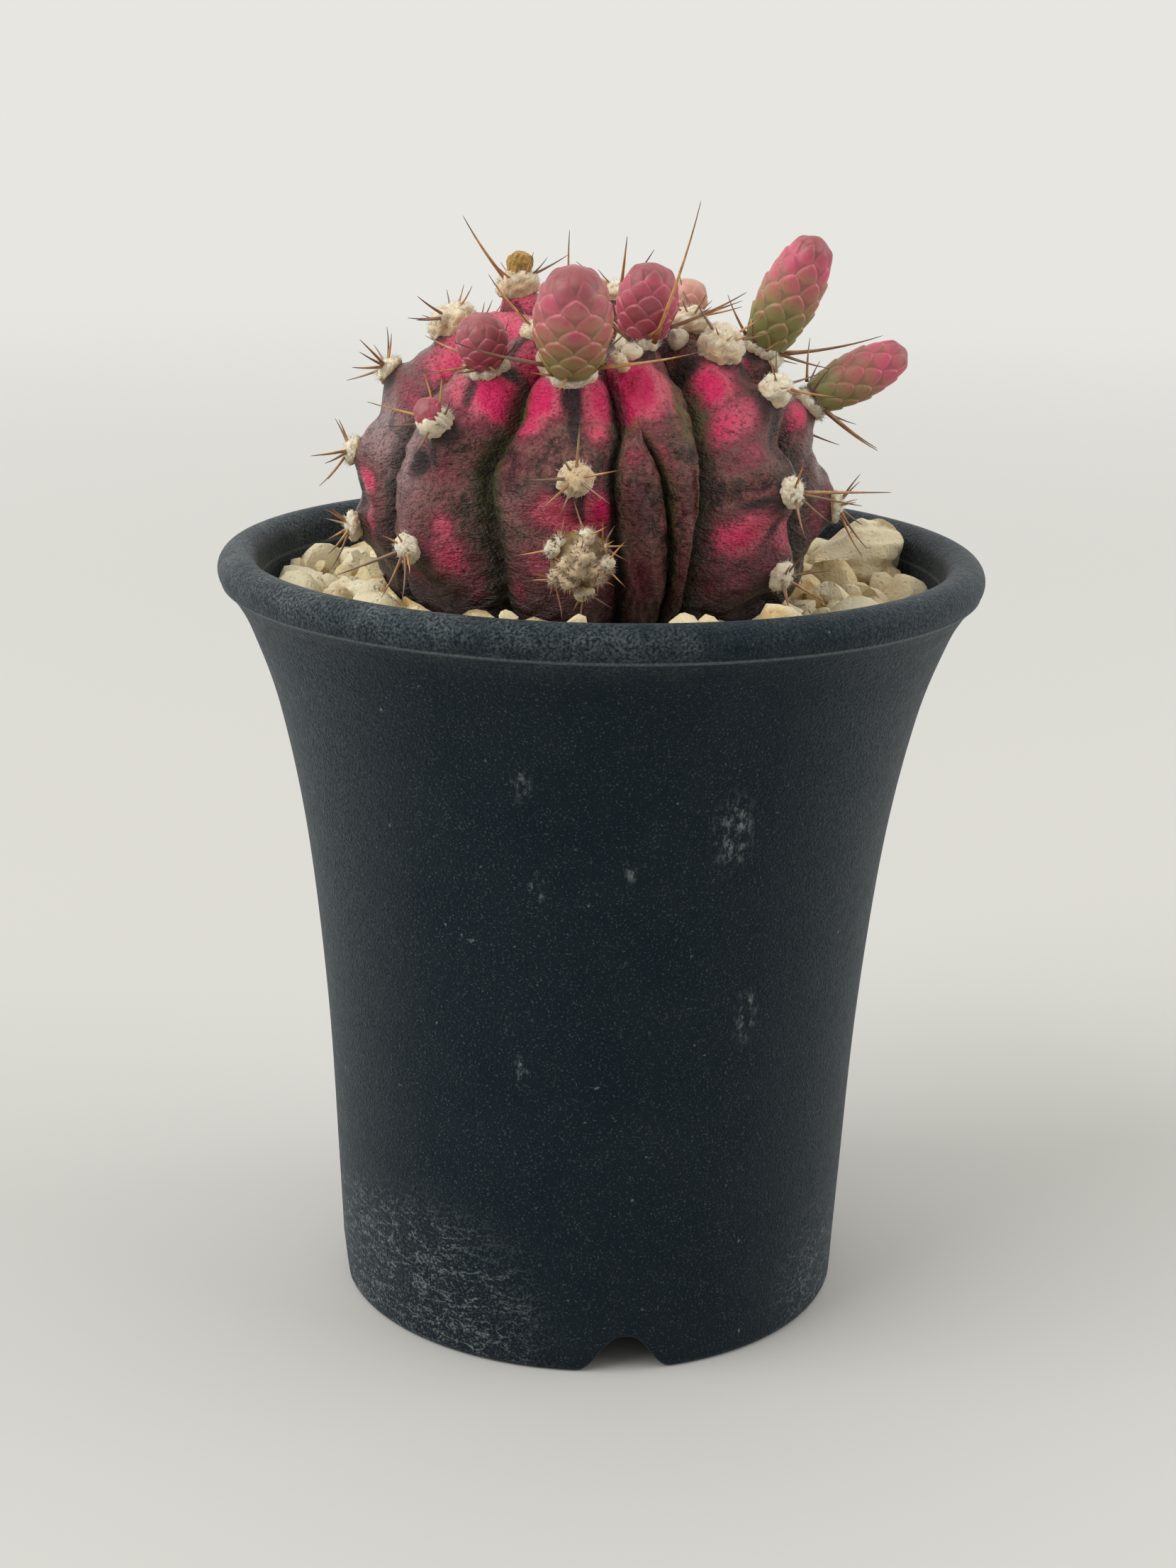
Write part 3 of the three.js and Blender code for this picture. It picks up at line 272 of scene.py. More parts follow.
BUDS = {
    "bud_b1": ("b1", (-0.1, -0.5, 0.86), 6, 5.9, 7, 5, 0.3, 0.05, 0.8),
    "bud_b2": ("b2", (-0.48, -0.66, 0.57), 2.7, 3.3, 5, 3, -0.1, 0, 0.4),
    "bud_c1": ("c1", (0.02, -0.4, 0.92), 12.1, 8.9, 7, 7, 0.3, 0.72, 0.6),
    "bud_d1": ("d1", (0.16, -0.16, 0.97), 8.6, 7.1, 7, 6, 0.2, 0.1, 0.6),
    "bud_f1": ("f1", (0.4, -0.24, 0.88), 14.4, 7.2, 7, 7, 0.2, 0.95, 0.1),
    "bud_f2": ("f2", (0.88, 0.1, 0.46), 12, 6, 7, 6, 0.2, 0.75, 0.1),
    "bud_g1": ("g1", (0.16, -0.2, 0.97), 4.6, 4.7, 6, 4, 0.4, 0.3, 0.5),
    "bud_i1": ("i1", (0.3, -0.1, 0.95), 3.1, 3, 5, 3, -0.9, 0, 0),
}
DRIED_BUD = "bud_i1"
# How pale the young buds are
PALE_BUDS = {"bud_g1": 0.5}
# A bud longer than this has the finer of the two grids, as [rows, columns]
LARGE_BUD = 5
BUD_GRIDS = ((70, 96), (150, 168))
# A bud of this width or more has scales of the full rise
FULL_RISE_WIDTH = 7
# A scale's half width in scales and half height in rings
SCALE_HALF_WIDTH = 0.6
SCALE_HALF_HEIGHT = 1.3
# The plain form is thinner by this many rises, so that the scales stand as wide as the bud
RISES_SUNK = 1.7
FIRST_RING = 0.03
LAST_RING = 0.93
BUD_FOOT_SHARE = 0.6
BUD_WIDEST = 0.5
BUD_SHOULDER = 0.4
BUD_ROUNDNESS = 2.2

# The offset on rib C, and its areoles as [clock, tilt from its axis, radius, age of the wool]

PUP_STEP = 7.15
PUP_RADIUS = 3.5
PUP_FLATNESS = 0.86
# How far the skin lies below the wool, and the rise of its tubercles and their half width as an angle
PUP_SKIN = 0.35
PUP_TUBERCLE = 0.85
PUP_TUBERCLE_HALF = 0.33
PUP_LIFT = 1.1
PUP_AREOLES = (
    (150, 20, 1, 1.5), (-100, 22, 0.9, 1.4), (80, 24, 0.9, 1.5), (60, 42, 0.8, 0.6), (-62, 48, 0.8, 0.6),
    (168, 60, 0.9, 0.2), (-118, 62, 0.95, 0), (-142, 62, 0.7, 0), (0, 4, 1.15, 1.5), (175, 26, 1.05, 1.4),
    (-30, 30, 1.05, 1.2), (92, 50, 1.05, 0.3), (10, 64, 0.95, 0.3), (-52, 70, 0.7, 0), (128, 62, 0.5, 0),
)
PUP_SPINES = 7

# Patches of the skin, as [column, step, half width in columns, half height in steps, strength]. A column
# counts ribs round the stem from rib A's first groove, and a crest is at its half.

FLUSH_PATCHES = (
    (0.7, 2.9, 0.55, 1, 0.36), (1.55, 3.3, 0.5, 0.9, 0.36), (2.5, 3.5, 0.5, 0.8, 0.36),
    (4.3, 3.4, 0.7, 1, 0.36), (5.25, 3.8, 0.4, 1, 0.36), (1.5, 7.8, 0.5, 0.7, 0.36),
    (2.5, 7.7, 0.5, 0.6, 0.5), (3.4, 7.8, 0.3, 0.6, 0.5), (5.4, 7.8, 0.5, 0.6, 0.45),
    (2.52, 6.45, 0.22, 0.3, 1.3), (0.72, 3.1, 0.32, 0.8, 1.15), (3.8, 3.5, 0.5, 0.7, 1.6),
    (0.6, 2.3, 0.3, 0.7, 1), (0.8, 3.7, 0.25, 0.7, 0.8), (0.85, 4.8, 0.2, 0.4, 0.5),
    (0.72, 6.9, 0.09, 0.25, 1.1), (0.76, 7.6, 0.1, 0.5, 0.75), (0.97, 8.1, 0.06, 0.5, 0.7),
    (1.2, 3.3, 0.25, 0.6, 0.7), (1.75, 2.6, 0.35, 0.5, 0.85), (1.72, 3.95, 0.33, 0.5, 1.4),
    (1.45, 4.1, 0.25, 0.4, 0.9), (1.72, 4.7, 0.22, 0.3, 0.5), (1.6, 5.95, 0.18, 0.45, 0.4),
    (1.5, 5.5, 0.1, 0.25, 0.3), (1.72, 7, 0.06, 0.3, 0.85), (1.72, 7.6, 0.1, 0.45, 1.05),
    (1.35, 8.2, 0.2, 0.5, 0.8), (1.85, 8.2, 0.1, 0.5, 0.6), (2.24, 3.75, 0.17, 0.55, 1.3),
    (2.2, 4.4, 0.15, 0.4, 0.85), (2.76, 3.7, 0.17, 0.7, 1), (2.74, 4.5, 0.13, 0.4, 0.8),
    (2.4, 6.35, 0.1, 0.35, 1.1), (2.78, 6.3, 0.2, 0.38, 1.15), (2.55, 6.5, 0.12, 0.2, 0.8),
    (2.28, 7.5, 0.12, 0.4, 0.65), (2.92, 7.4, 0.12, 0.4, 0.45), (2.12, 8.1, 0.1, 0.4, 0.65),
    (2.9, 8.1, 0.15, 0.3, 0.5), (3.5, 2.6, 0.6, 0.5, 0.75), (3.5, 3.4, 0.6, 0.5, 1.35),
    (3.4, 5.2, 0.3, 0.32, 0.5), (3.5, 7.8, 0.4, 0.5, 0.35), (4.2, 3.4, 0.3, 0.85, 1.6),
    (4.55, 3.6, 0.13, 0.8, 0.85), (4.15, 5.1, 0.14, 0.5, 0.5), (4.5, 7.6, 0.3, 0.6, 0.35),
    (5.2, 3.7, 0.17, 0.5, 1.15), (5.2, 4.7, 0.22, 0.5, 0.8), (5.3, 5.5, 0.16, 0.35, 0.5),
    (5.3, 7.1, 0.17, 0.42, 1.1), (5.65, 7.4, 0.2, 0.35, 0.9), (5.25, 8.1, 0.2, 0.4, 0.6),
    (6.15, 3.6, 0.12, 0.3, 0.95), (6.25, 5.4, 0.13, 0.35, 0.85), (6.3, 7.6, 0.14, 0.4, 0.6),
    (9.45, 2.2, 0.4, 0.8, 1), (9.7, 3.4, 0.2, 0.5, 0.7),
)
# Nearly black skin: dark smears of its own, and painted shade in dents and below buds and wool
SMEAR_AND_SHADE_PATCHES = (
    (3.5, 6.3, 0.5, 1.2, 0.5), (2.15, 5.9, 0.15, 0.7, 0.4), (2, 7, 0.12, 1, 0.4), (4.6, 6.4, 0.3, 1, 0.35),
    (0.56, 5.1, 0.1, 0.3, 0.9), (1.76, 3.32, 0.13, 0.18, 1), (1.62, 5.15, 0.13, 0.28, 1.1),
    (1.38, 5.9, 0.1, 0.4, 0.9), (2.5, 3.75, 0.1, 0.3, 1), (2.52, 4.2, 0.06, 0.9, 1.1),
    (2.53, 6.18, 0.05, 0.18, 0.9), (4.35, 2.55, 0.2, 0.2, 0.9), (4.4, 3.5, 0.06, 0.8, 0.45),
    (5.15, 2.9, 0.15, 0.3, 1), (5.42, 4.6, 0.08, 0.6, 0.8), (5.35, 6.5, 0.16, 0.12, 0.8),
    (6.33, 3.9, 0.12, 0.3, 0.9), (6.1, 5, 0.08, 0.4, 0.6), (5.7, 8, 0.12, 0.2, 0.7),
    (1.5, 8.05, 0.08, 0.12, 0.7),
)
# Olive skin beside the grooves
MOSS_PATCHES = (
    (2.04, 3.75, 0.05, 0.6, 1), (2.02, 4.6, 0.04, 0.5, 0.7), (1.15, 4, 0.12, 0.45, 0.7),
    (4.72, 4.3, 0.13, 0.8, 0.8), (3.5, 4.35, 0.5, 0.16, 0.6), (3.1, 5.4, 0.08, 1.4, 0.35),
    (4.1, 5.8, 0.08, 1.6, 0.35), (4.9, 6, 0.12, 1.2, 0.35), (2.05, 6, 0.05, 1.2, 0.35),
    (1.97, 5.6, 0.05, 1, 0.35), (5.03, 4.2, 0.05, 1, 0.6), (1.03, 4.1, 0.06, 0.6, 0.8),
)
# Painted sheen: pale mauve-grey where light glances off the wax, most of it on ribs A and B
WAX_SHEEN_PATCHES = (
    (0.8, 5.8, 0.3, 0.8, 1.15), (1.25, 5.9, 0.2, 0.9, 1.1), (1.05, 5.4, 0.15, 0.7, 0.8),
    (6.3, 6.3, 0.15, 0.5, 0.9), (2.2, 6.3, 0.12, 0.4, 0.35), (5.05, 5.5, 0.1, 0.6, 0.25),
)
# Patches of the hidden back, drawn from these ranges of column, step, half width, half height and strength
BACK_PATCHES = 26
BACK_RANGES = ((6.6, 9.9), (2.6, 8.4), (0.15, 0.32), (0.35, 0.75), (0.6, 1))
# Folds of the skin, as [column, step, half width, half height, depth in mm]
FOLDS = (
    (5.25, 6.25, 0.2, 0.13, 0.6), (2.5, 6.15, 0.05, 0.35, 0.3), (2.3, 5.45, 0.035, 0.4, 0.5),
    (1.42, 5.75, 0.07, 0.4, 0.5), (4.28, 5.3, 0.1, 0.1, 0.3), (5.55, 5.5, 0.07, 0.6, 0.4),
    (6.4, 5, 0.2, 0.12, 0.6), (0.72, 5.8, 0.1, 0.5, 0.4), (1.62, 6.5, 0.12, 0.1, 0.35),
    (2.5, 4.4, 0.05, 0.7, 0.3),
)

CAMERA_PLACE = (-1.07, -297.5, 147.8)
CAMERA_PITCH = 16
CAMERA_ROLL = 1.14
CAMERA_FOCAL_PIXELS = 3600
PHOTO_HEIGHT_PIXELS = 2212
SENSOR = 36

# The floor and the wall in metres, the wall's glow, and the lamps as [name, place, size, share of the key]
FLOOR_HALF = 4
FLOOR_FADE = (0.12, 1.3)
WALL_COLOUR = "#f7f6f0"
WALL_GLOW = 0.86
LAMP_AIM = (0, 0, 0.08)
LAMPS = (("window", (-1.3, -0.65, 1.25), 1.5, 3.2), ("bounce", (0.8, -0.1, 0.5), 0.8, 0.42))


def linear(code, alpha=True):
    """Turns an sRGB hex colour into the linear values that Blender works in."""
    parts = [int(code[k:k + 2], 16) / 255 for k in (1, 3, 5)]
    values = [v / 12.92 if v <= 0.04045 else ((v + 0.055) / 1.055) ** 2.4 for v in parts]
    return (*values, 1.0) if alpha else tuple(values)


# Settings that a user would change


def colour(name, description, code):
    """A colour setting with its default given as sRGB hex."""
    return FloatVectorProperty(
        name=name, description=description, subtype="COLOR", size=3, min=0, max=1,
        default=linear(code, False),
    )


def length(name, description, millimetres):
    """A length setting with its default given in millimetres."""
    return FloatProperty(
        name=name, description=description, unit="LENGTH", subtype="DISTANCE", min=0, precision=5,
        default=millimetres * MM,
    )


class PotSettings(bpy.types.PropertyGroup):
    """Sizes and finish of the pot."""

    rim_radius: length("Rim Radius", "Outer radius of the rim bead", 45)
    height: length("Height", "Height of the rim's top above the ground", 91.8)
    bead: length("Bead", "Radius of the rounded rim", 2.3)
    wall: length("Wall", "Thickness of the wall", WALL)
    grain: length("Grain", "Size of the moulded leather grain", 0.3)
    plastic: colour("Plastic", "Colour of the moulded plastic", "#0a131b")
    # Also the colour of the painted highlights on the rim, the wall's edges and the grain
    dust_and_sheen: colour("Dust", "Colour of dust, scuffs and lime", "#8f9596")


class GravelSettings(bpy.types.PropertyGroup):
    """The pumice and the potting mix."""

    chips: IntProperty(name="Chips", description="Small stones between the large ones", default=230, min=0)
    chip_size: length("Chip Size", "Mean radius of a small stone", 1.9)
    pumice: colour("Pumice", "Colour of clean pumice", "#dcca9f")
    stain: colour("Stain", "Colour of iron stains on the pumice", "#c39a58")
    soil: colour("Soil", "Colour of the potting mix", "#3b2f26")


class PlantSettings(bpy.types.PropertyGroup):
    """The stem and its skin."""

    lean: FloatProperty(
        name="Lean", description="How far the stem leans to the front", unit="ROTATION", subtype="ANGLE",
        default=math.radians(9),
    )
    wrinkle: length("Wrinkle", "Width of the skin's fine wrinkles", 0.45)
    shade: colour("Shade", "Brown-black of the skin", "#1d120e")
    brown: colour("Brown", "Lighter brown of the skin", "#7b4842")
    # The pale mauve-grey of the painted sheen on the wax
    bloom: colour("Bloom", "Mauve-grey of the skin's waxy parts", "#ab8c8d")
    crimson: colour("Crimson", "Dark edge of the magenta patches", "#741d36")
    coral: colour("Coral", "Paler coral of the magenta patches", "#d4586f")
    flush: colour("Flush", "Magenta of the skin without green", "#da195f")
    olive: colour("Olive", "Green of the grooves near the crown", "#59602c")


class BudSettings(bpy.types.PropertyGroup):
    """The flower buds."""

    scale_rise: length("Scale Rise", "How far a scale's tip stands out", 0.75)
    rose: colour("Rose", "Colour of the fresh scales", "#c14c69")
    dusk: colour("Dusk", "Colour of the older scales", "#8f464c")
    green: colour("Green", "Colour of the scales near the foot", "#878550")
    margin: colour("Margin", "Colour of the scales' thin margins", "#e2aca4")
    dry: colour("Dry", "Colour of the dried bud", "#8c7236")


class WoolSettings(bpy.types.PropertyGroup):
    """The areoles' wool and spines."""

    spine_radius: length("Spine Radius", "Radius of a spine near its root", 0.2)
    hair_length: length("Hair Length", "Length of the wool's free hairs", 0.8)
    hairs: IntProperty(name="Hairs", description="Hairs on a square millimetre of wool", default=18, min=0)
    wool: colour("Wool", "Colour of the wool", "#f6e8cc")
    aged: colour("Aged Wool", "Yellow of the old wool", "#cfa263")
    tan: colour("Tan", "Colour of a young spine", "#c39059")
    horn: colour("Horn", "Colour of an old spine", "#7d674f")
    tip: colour("Tip", "Colour of a spine's tip", "#3b211f")


class StageSettings(bpy.types.PropertyGroup):
    """The floor and the light."""

    floor: colour("Floor", "Colour of the floor", "#bdbcb9")
    key: FloatProperty(name="Key Light", description="Power that the lamps share", unit="POWER", default=8.5)
    fill: FloatProperty(name="Sky", description="Strength of the light from all round", default=1.05, min=0)


# Surfaces


def smooth_curve(knots, values, place):
    """Cubic Hermite curve through values at knots, with each slope the spans' weighted mean."""
    knots = np.asarray(knots, float)
    values = np.asarray(values, float)
    x = np.clip(place, knots[0], knots[-1])
    spans = np.diff(knots)
    slopes = np.diff(values) / spans
    tangents = np.empty(len(knots))
    tangents[[0, -1]] = slopes[[0, -1]]
    tangents[1:-1] = (slopes[:-1] * spans[1:] + slopes[1:] * spans[:-1]) / (spans[:-1] + spans[1:])
    k = np.clip(np.searchsorted(knots, x, side="right") - 1, 0, len(knots) - 2)
    w = (x - knots[k]) / spans[k]
    start = (2 * w**3 - 3 * w**2 + 1) * values[k] + (w**3 - 2 * w**2 + w) * spans[k] * tangents[k]
    return start + (3 * w**2 - 2 * w**3) * values[k + 1] + (w**3 - w**2) * spans[k] * tangents[k + 1]


def through(line, place):
    """Catmull-Rom curve through a line of points, where place 2.5 is half way from point 2 to point 3."""
    line = np.asarray(line, float)
    last = len(line) - 1
    place = np.asarray(place, float)
    k = np.minimum(np.floor(place).astype(int), last - 1)
    w = (place - k)[..., None]
    p0, p1, p2, p3 = line[np.maximum(k - 1, 0)], line[k], line[k + 1], line[np.minimum(k + 2, last)]
    start, end = (p2 - p0) / 2, (p3 - p1) / 2
    return (((2 * (p1 - p2) + start + end) * w + 3 * (p2 - p1) - 2 * start - end) * w + start) * w + p1


def smoothstep(low, high, x):
    """Climbs from 0 at low to 1 at high with level ends."""
    w = np.clip((x - low) / (high - low), 0, 1)
    return w * w * (3 - 2 * w)


def waves(points, wavelength, seed):
    """Smooth noise of about one wavelength and height 1: a sum of plane waves in seeded directions."""
    rng = np.random.default_rng(seed)
    directions = unit(rng.normal(size=(WAVE_COUNT, 3)))
    steepness = 2 * np.pi / wavelength * rng.uniform(0.6, 1.5, WAVE_COUNT)
    phases = rng.uniform(0, 2 * np.pi, WAVE_COUNT)
    return np.sin(points @ (directions * steepness[:, None]).T + phases).sum(-1) / math.sqrt(WAVE_COUNT)


def unit(vectors):
    """Vectors of the same directions and length 1."""
    return vectors / np.maximum(np.linalg.norm(vectors, axis=-1, keepdims=True), 1e-9)


def swung(start, end, angle):
    """Unit vectors turned by angles in radians from one direction towards another that is square to it."""
    return np.cos(angle)[..., None] * start + np.sin(angle)[..., None] * end


def sphere(rows, columns, first):
    """Unit vectors on a grid round +Z, whose rows run from so many degrees off +Z to as many off -Z."""
    off = np.radians(np.linspace(first, 180 - first, rows))[:, None]
    turn = np.arange(columns) * 2 * np.pi / columns
    return np.stack([np.sin(off) * np.cos(turn), np.sin(off) * np.sin(turn), np.cos(off) + 0 * turn], -1)


def aside(azimuth):
    """Level unit vectors at azimuths in degrees."""
    turn = np.radians(azimuth)
    return np.stack([np.sin(turn), -np.cos(turn), np.zeros_like(turn)], axis=-1)


def turned(profile, azimuths):
    """A profile of [radius, height] rows carried round +Z: a (rows, azimuths, 3) grid."""
    radius, height = profile[..., 0], profile[..., 1]
    if radius.ndim == 1:
        radius, height = radius[:, None], height[:, None]
    grid = aside(azimuths)[None] * radius[..., None]
    grid[..., 2] = height
    return grid


def grid_triangles(rows, columns, ring=False):
    """Triangles of a grid whose columns close round, and its rows too where it is a ring."""
    r, c = np.meshgrid(np.arange(rows if ring else rows - 1), np.arange(columns), indexing="ij")
    a = r * columns + c
    b = r * columns + (c + 1) % columns
    d = (r + 1) % rows * columns + c
    e = (r + 1) % rows * columns + (c + 1) % columns
    return np.concatenate([np.stack([a, d, b], -1).reshape(-1, 3), np.stack([b, d, e], -1).reshape(-1, 3)])


def capped_triangles(rows, columns):
    """Triangles of a grid that closes round and ends in a fan to a pole at either end."""
    ring = np.arange(columns)
    after = (ring + 1) % columns
    first, last = rows * columns, (rows - 1) * columns
    return np.concatenate([
        grid_triangles(rows, columns),
        np.stack([np.full(columns, first), ring, after], -1),
        np.stack([np.full(columns, first + 1), last + after, last + ring], -1),
    ])


def shell(points, triangles, material=0, **values):
    """One closed surface, its faces turned outwards, with values at its points by name."""
    points = np.asarray(points, float).reshape(-1, 3)
    corners = points[triangles] - points.mean(0)
    volume = np.einsum("ij,ij->i", corners[:, 0], np.cross(corners[:, 1], corners[:, 2])).sum()
    triangles = triangles if volume > 0 else triangles[:, ::-1]
    return {"points": points, "triangles": triangles, "material": material, "values": values}


def capped(grid, start, end, material=0, **values):
    """A shell from a grid that closes round, with a pole at each end. Values are grids of its size."""
    rows, columns = grid.shape[:2]
    points = np.concatenate([grid.reshape(-1, 3), [start, end]])
    ends = {name: [value[0].mean(), value[-1].mean()] for name, value in values.items()}
    flat = {name: np.concatenate([value.reshape(-1), ends[name]]) for name, value in values.items()}
    return shell(points, capped_triangles(rows, columns), material, **flat)


def repeated(copies, triangles, material=0, **values):
    """Like copies of one closed surface as one shell: copies is (number, points, 3)."""
    one = shell(copies[0], triangles)["triangles"]
    number, count = copies.shape[:2]
    every = (one[None] + np.arange(number)[:, None, None] * count).reshape(-1, 3)
    flat = {name: np.broadcast_to(value, (number, count)).reshape(-1) for name, value in values.items()}
    return {"points": copies.reshape(-1, 3), "triangles": every, "material": material, "values": flat}


def linked(name, data):
    """A new object of the data in the scene."""
    made = bpy.data.objects.new(name, data)
    bpy.context.scene.collection.objects.link(made)
    return made


def put(name, shells, materials, nodes, sharp=None):
    """Makes one mesh object of the shells, in metres, that rides on the root and stands for CAD nodes."""
    counts = np.cumsum([0] + [len(part["points"]) for part in shells])
    points = np.concatenate([part["points"] for part in shells]) * MM
    triangles = np.concatenate([part["triangles"] + at for part, at in zip(shells, counts)])
    mesh = bpy.data.meshes.new(name)
    mesh.vertices.add(len(points))
    mesh.vertices.foreach_set("co", points.ravel())
    mesh.loops.add(triangles.size)
    mesh.loops.foreach_set("vertex_index", triangles.ravel().astype(np.int32))
    mesh.polygons.add(len(triangles))
    mesh.polygons.foreach_set("loop_start", np.arange(0, triangles.size, 3, dtype=np.int32))
    numbers = np.concatenate([np.full(len(part["triangles"]), part["material"]) for part in shells])
    for material in materials:
        mesh.materials.append(material)
    mesh.polygons.foreach_set("material_index", numbers.astype(np.int32))
    for key in sorted({key for part in shells for key in part["values"]}):
        held = [part["values"].get(key, np.zeros(len(part["points"]))) for part in shells]
        layer = mesh.attributes.new(key, "FLOAT", "POINT")
        layer.data.foreach_set("value", np.concatenate(held).astype(np.float32))
    mesh.update(calc_edges=True)
    mesh.validate()
    mesh.shade_smooth()
    if sharp is not None:
        mesh.set_sharp_from_angle(angle=math.radians(sharp))
    piece = linked(name, mesh)
    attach(piece, "root")
    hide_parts(*nodes)
    return piece


# Materials

# Settings of the nodes that come up most often
SMOOTH = {"interpolation_type": "SMOOTHSTEP"}
TIMES = {"operation": "MULTIPLY"}
SCALED_SUM = {"operation": "MULTIPLY_ADD"}
LARGER = {"operation": "MAXIMUM"}


def fill(made, inputs):
    """Sets a node's inputs by number or name, or links them where the value is another node's output."""
    for key, value in inputs.items():
        if isinstance(value, bpy.types.NodeSocket):
            made.id_data.links.new(value, made.inputs[key])
        else:
            made.inputs[key].default_value = value


def node(tree, kind, *values, inputs=None, output=None, **settings):
    """Adds one node with its settings: values go to its first inputs in turn, and inputs goes by name.

    Returns the output of that name, or the first live one.
    """
    made = tree.nodes.new("ShaderNode" + kind)
    for name, value in settings.items():
        setattr(made, name, value)
    fill(made, {**dict(enumerate(values)), **(inputs or {})})
    return made.outputs[output] if output else next(socket for socket in made.outputs if socket.enabled)


def start_material(name):
    """A new node material, what adds nodes to it, its surface shader, and the object's coordinates."""
    material = bpy.data.materials.new(name)
    material.use_nodes = True
    add = functools.partial(node, material.node_tree)
    return material, add, material.node_tree.nodes["Principled BSDF"], add("TexCoord", output="Object")


def grain(place, millimetres, detail, roughness):
    """Inputs of a noise whose blotches are about as wide as the given real size."""
    return {"Vector": place, "Scale": 1 / (millimetres * MM), "Detail": detail, "Roughness": roughness}


def painted(add, base, layers):
    """Colours laid over a base in turn, each as [field, steps, colour].

    The steps say from where to where the field climbs, and from which share of the colour to which. Without
    them the field is the share itself.
    """
    for field, steps, tint in layers:
        share = add("MapRange", field, *steps, **SMOOTH) if steps else field
        base = add("Mix", inputs={0: share, 6: base, 7: tint}, data_type="RGBA")
    return base


def faded(add, value, field, *steps):
    """The value times a field's climb between steps."""
    return add("Math", value, add("MapRange", field, *steps, **SMOOTH), **TIMES)


def opaque(setting):
    """A setting's three colour values with alpha 1."""
    return (*setting, 1.0)


def pot_material(pot):
    """Moulded polypropylene with a leather grain: satin black with a blue cast, dusty on the rim.

    The grain breaks up the gloss. Scuffs are pale and rough, and lime left by water lines the foot. Painted
    highlights brighten the rim's left half, the wall's left and right edges and the grain's glints.
    """
    material, add, surface, place = start_material("moulded_polypropylene")
    x, y, height = add("SeparateXYZ", place).node.outputs
    cells = {"Vector": place, "Scale": 1 / pot.grain, "Randomness": 1}
    cells = add("TexVoronoi", inputs=cells, feature="SMOOTH_F1")
    pits, cloud, fine, glint_noise, dots = (
        add("TexNoise", inputs=grain(place, *sizes))
        for sizes in ((1.6, 4, 0.6), (9, 5, 0.65), (0.32, 2, 0.6), (0.22, 1, 0.5), (1.1, 2, 0.5))
    )
    grit = add("MapRange", fine, 0.35, 0.7, **SMOOTH)

    # Scuffs: spots twice as tall as wide, broken up by fine scratches
    upright = add("Mapping", place, inputs={"Scale": (1, 1, 0.5)})
    wall = wall_line()
    scuff = 0.0
    for azimuth, level, size in SCUFFS:
        spot = aside(azimuth) * np.interp(level, wall[:, 1], wall[:, 0])
        spot[2] = level / 2
        away = add("VectorMath", upright, tuple(spot * MM), operation="DISTANCE", output="Value")
        near = add("MapRange", away, size * MM, size * 0.15 * MM, **SMOOTH)
        scuff = add("Math", scuff, near, **LARGER)
    scratches = add("TexNoise", inputs=grain(upright, 0.8, 6, 0.75))
    scuff = faded(add, scuff, scratches, 0.48, 0.7, 0, 0.75)

    # Lime: lines where water dried, and a haze, low on both sides and faint at the back
    left, right = (add("MapRange", x, *places, **SMOOTH) for places in (LIME_LEFT, LIME_RIGHT))
    wet = faded(add, add("Math", left, right, **LARGER), height, *LIME_HEIGHT)
    wet = add("Math", wet, add("MapRange", y, *LIME_FRONT), **TIMES)
    swirl = add("TexNoise", inputs=grain(add("Mapping", place, inputs={"Scale": (1, 1, 2.5)}), 7, 6, 0.62))
    tide = add("Math", swirl, 7, add("Math", height, 330, **TIMES), **SCALED_SUM)
    tide = add("MapRange", add("Math", tide, 0.5, operation="PINGPONG"), 0.13, 0, 0, 0.8, **SMOOTH)
    lines = faded(add, tide, wet, 0.2, 0.8)
    haze = faded(add, add("MapRange", fine, 0.5, 0.75, 0, 0.45, **SMOOTH), wet, 0.1, 0.9)
    lime = faded(add, add("Math", lines, haze, **LARGER), fine, 0.3, 0.6, 0, 0.7)

    # Dust on the rim, stronger from just right of the middle leftwards as a painted highlight, and on the
    # wall's far sides, partly a painted sheen along its left and right edges
    rim = faded(add, faded(add, grit, height, *RIM_DUST_AND_SHEEN), cloud, 0.25, 0.7)
    rim = add("Math", rim, add("MapRange", x, *RIM_LEFT_SHEEN), **TIMES)
    side = faded(add, grit, add("Math", x, operation="ABSOLUTE"), *SIDE_DUST_AND_SHEEN)

    # A pale line along the parting line, specks of dust, and fine painted glints on the grain
    seam = add("Math", add("Math", height, PARTING_LINE * MM, operation="SUBTRACT"), operation="ABSOLUTE")
    seam = faded(add, fine, seam, *PARTING_PALE_LINE)
    specks = add("MapRange", dots, 0.735, 0.79, 0, 0.35, **SMOOTH)
    glints = add("MapRange", glint_noise, 0.58, 0.75, 0, 0.16, **SMOOTH)

    # Pale marks in the dust colour, among them the painted highlights and glints
    pale = scuff
    for mark in (lime, rim, side, seam, specks, glints):
        pale = add("Math", pale, mark, **LARGER)
    veil = add("Math", cloud, 0.03, **TIMES)
    dust_and_sheen = opaque(pot.dust_and_sheen)
    relief = add("Math", pits, 0.25, cells, **SCALED_SUM)
    fill(surface, {
        "Base Color": painted(add, opaque(pot.plastic), ((veil, (), dust_and_sheen), (pale, (), dust_and_sheen))),
        "Roughness": add("MapRange", pits, 0.3, 0.7, 0.48, 0.62),
        "Normal": add("Bump", inputs={"Height": relief, "Strength": 0.65, "Distance": 0.0002}),
        "Specular IOR Level": 0.12,
        "Specular Tint": linear("#b0dcf2"),
        "Sheen Weight": 0.07,
        "Sheen Tint": linear("#cfe6f2"),
        "Sheen Roughness": 0.4,
    })
    return material


